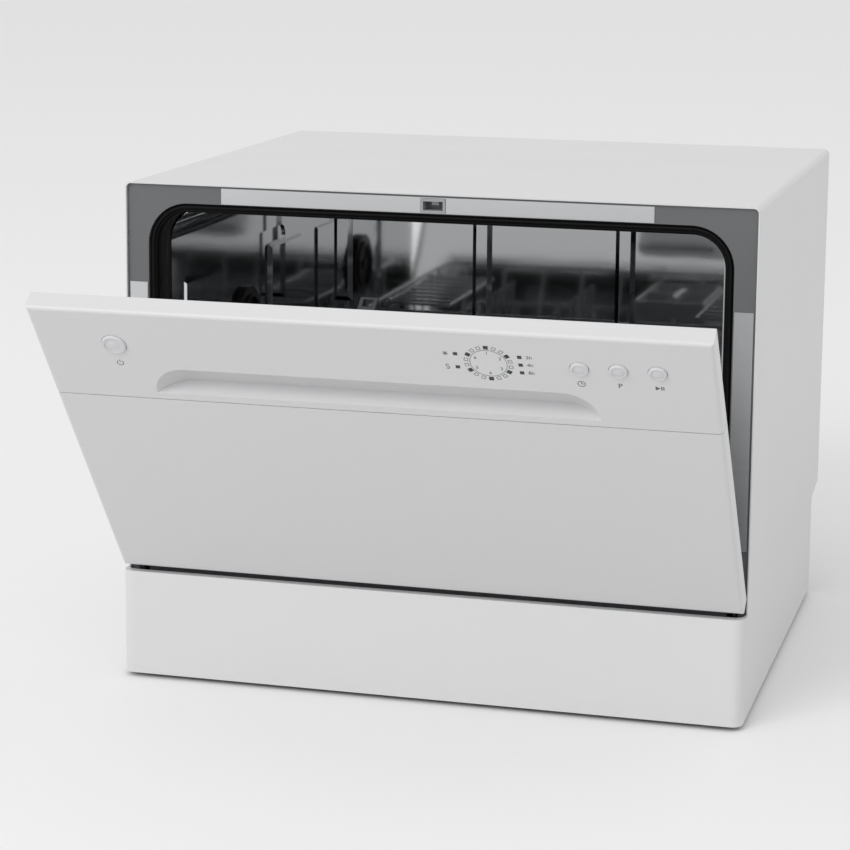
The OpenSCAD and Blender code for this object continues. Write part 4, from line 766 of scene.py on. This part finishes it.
def make_spring(name, side):
    """A spring from the hinge arm's tail to its anchor; side is -1 at the left."""
    tail = door_point(0, tail_in, tail_up)
    tail.x = side * arm_middle_x
    anchor = Vector((tail.x, tail.y + spring_span, anchor_height))
    along = anchor - tail
    bm = bmesh.new()
    turns = wind_coil(bm, hook_length, along.length - hook_length)
    add_straight_wire(bm, ring_reach, hook_length + wire_radius)
    add_straight_wire(bm, along.length - hook_length - wire_radius, along.length - ring_reach)
    add_end_ring(bm, 0.0)
    add_end_ring(bm, along.length)
    turn = along.to_track_quat("Z", "Y").to_matrix().to_4x4()
    bm.transform(Matrix.Translation(tail) @ turn)
    bmesh.ops.recalc_face_normals(bm, faces=bm.faces)
    spring = make_object(name, bm, spring_steel, smooth=True)
    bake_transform(spring)
    print(name, "has", turns, "turns and", len(spring.data.polygons), "faces")
    return spring


spring_left = make_spring("spring_left", -1)
make_spring("spring_right", 1)
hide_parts("hinge_springs")

# %% [markdown]
# Every pin of the plate holder ends in a small round bead of nylon, so that it doesn't
# scratch the plates. The pins' tops are read from the CAD piece: its highest points are
# sorted into cells of 8 mm, and the points of one pin fall into one cell. A sphere,
# drawn out a little in height, is set on each.

# %% Beads on the plate pins
pin_cell = 8 * MM
pin_width = 2 * MM
bead_radius = 2.3 * MM
bead_stretch = 1.25
top_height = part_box("plate_tines")[1].z - 0.2 * MM

pin_tops = {}
for vertex in frame["nodes"]["plate_tines"].data.vertices:
    if vertex.co.z > top_height:
        cell = (round(vertex.co.x / pin_cell), round(vertex.co.y / pin_cell))
        pin_tops.setdefault(cell, []).append(vertex.co.copy())

beads = bmesh.new()
for corners in pin_tops.values():
    low = Vector(map(min, zip(*corners)))
    high = Vector(map(max, zip(*corners)))
    if (high - low).length > pin_width:
        bead = bmesh.ops.create_uvsphere(beads, u_segments=16, v_segments=10,
                                         radius=bead_radius)["verts"]
        bmesh.ops.scale(beads, verts=bead, vec=(1, 1, bead_stretch))
        bmesh.ops.translate(beads, verts=bead, vec=(low + high) / 2)
make_piece("pin_beads", beads, wire_coat, "basket", smooth=True)

# %% [markdown]
# The studio starts with a wide pale floor that fills the whole picture. It is paler for
# the camera, and in mirrors, than for the light that bounces off it, so that the front of
# the door, which leans forward over it, keeps its shade. The Light Path node tells which
# kind of ray asks.

# %% Floor
floor_seen = "#F9F9F9"
floor_bounced = "#DCDCDC"
floor_half_width = 40

floor_paint, floor_shader = new_material("pale_studio_floor", floor_seen, 0.9,
                                         Specular_IOR_Level=0.0)
paint_tree = floor_paint.node_tree
ray = add_node(paint_tree, "ShaderNodeLightPath").outputs
direct = add_node(paint_tree, "ShaderNodeMath",
                  {0: ray["Is Camera Ray"], 1: ray["Is Glossy Ray"]}, operation="MAXIMUM")
seen = add_node(paint_tree, "ShaderNodeMath",
                {0: direct.outputs["Value"], 1: ray["Is Transmission Ray"]},
                operation="MAXIMUM")
tone = add_node(paint_tree, "ShaderNodeMixRGB",
                {"Fac": seen.outputs["Value"],
                 "Color1": linear(floor_bounced), "Color2": linear(floor_seen)})
paint_tree.links.new(tone.outputs["Color"], floor_shader.inputs["Base Color"])

floor_plane = bmesh.new()
bmesh.ops.create_grid(floor_plane, x_segments=1, y_segments=1, size=floor_half_width)
floor = make_object("floor", floor_plane, floor_paint)
print("floor laid,", 2 * floor_half_width, "m wide")

# %% [markdown]
# Most of the light comes from the world, so a colour renders about as it is written. The
# world is white all round and darker overhead, like a studio with a grey ceiling, which
# keeps the top of the cabinet below the brightness of its front. A world's Generated
# coordinates are the direction that a ray looks in.

# %% World light
ceiling_shade = 0.68
world = bpy.data.worlds.new("studio")
bpy.context.scene.world = world
world.use_nodes = True
sky = world.node_tree
background = sky.nodes["Background"]
direction = add_node(sky, "ShaderNodeTexCoord").outputs["Generated"]
split = add_node(sky, "ShaderNodeSeparateXYZ", {"Vector": direction})
shade = add_node(sky, "ShaderNodeMapRange",
                 {"Value": split.outputs["Z"], "To Min": 1.0, "To Max": ceiling_shade})
sky.links.new(shade.outputs["Result"], background.inputs["Color"])
background.inputs["Strength"].default_value = 1.0
print("world set, the ceiling at", ceiling_shade)

# %% [markdown]
# One large soft lamp stands in front, to the left and high up. It only models the shapes:
# a wide lamp gives soft shadows, and its low power leaves the colours alone.

# %% Lamp
softbox_place = Vector((-2.4, -5.2, 3.4))
softbox = bpy.data.lights.new("front_softbox", "AREA")
softbox.shape = "RECTANGLE"
softbox.size = 3.6
softbox.size_y = 2.4
softbox.energy = 130
softbox_holder = bpy.data.objects.new("front_softbox", softbox)
bpy.context.scene.collection.objects.link(softbox_holder)
softbox_holder.location = softbox_place
aim = (cad_bounds[0] + cad_bounds[1]) / 2 - softbox_place
softbox_holder.rotation_mode = "QUATERNION"
softbox_holder.rotation_quaternion = aim.to_track_quat("-Z", "Y")
print("lamp hung", round(aim.length, 1), "m away")

# %% [markdown]
# The photograph was taken from the right and a little above with a long lens. The
# camera's place, turn and focal length were fitted to the corners of the cabinet and the
# door. A small shift keeps the cabinet's edges nearly upright.

# %% Camera
camera_turn = (79.828, -0.486, 15.252)
camera_data = bpy.data.cameras.new("camera")
camera_data.lens = 110.8
camera_data.sensor_width = 36.0
camera_data.shift_y = -0.1
camera_data.clip_end = 100.0
camera = bpy.data.objects.new("camera", camera_data)
bpy.context.scene.collection.objects.link(camera)
camera.location = (0.5643, -2.2333, 0.7047)
camera.rotation_euler = [math.radians(angle) for angle in camera_turn]
bpy.context.scene.camera = camera
bpy.context.scene.view_settings.view_transform = "Standard"
print("camera placed, focal length", camera_data.lens, "mm")

# %% Update the scene
bpy.context.view_layer.update()
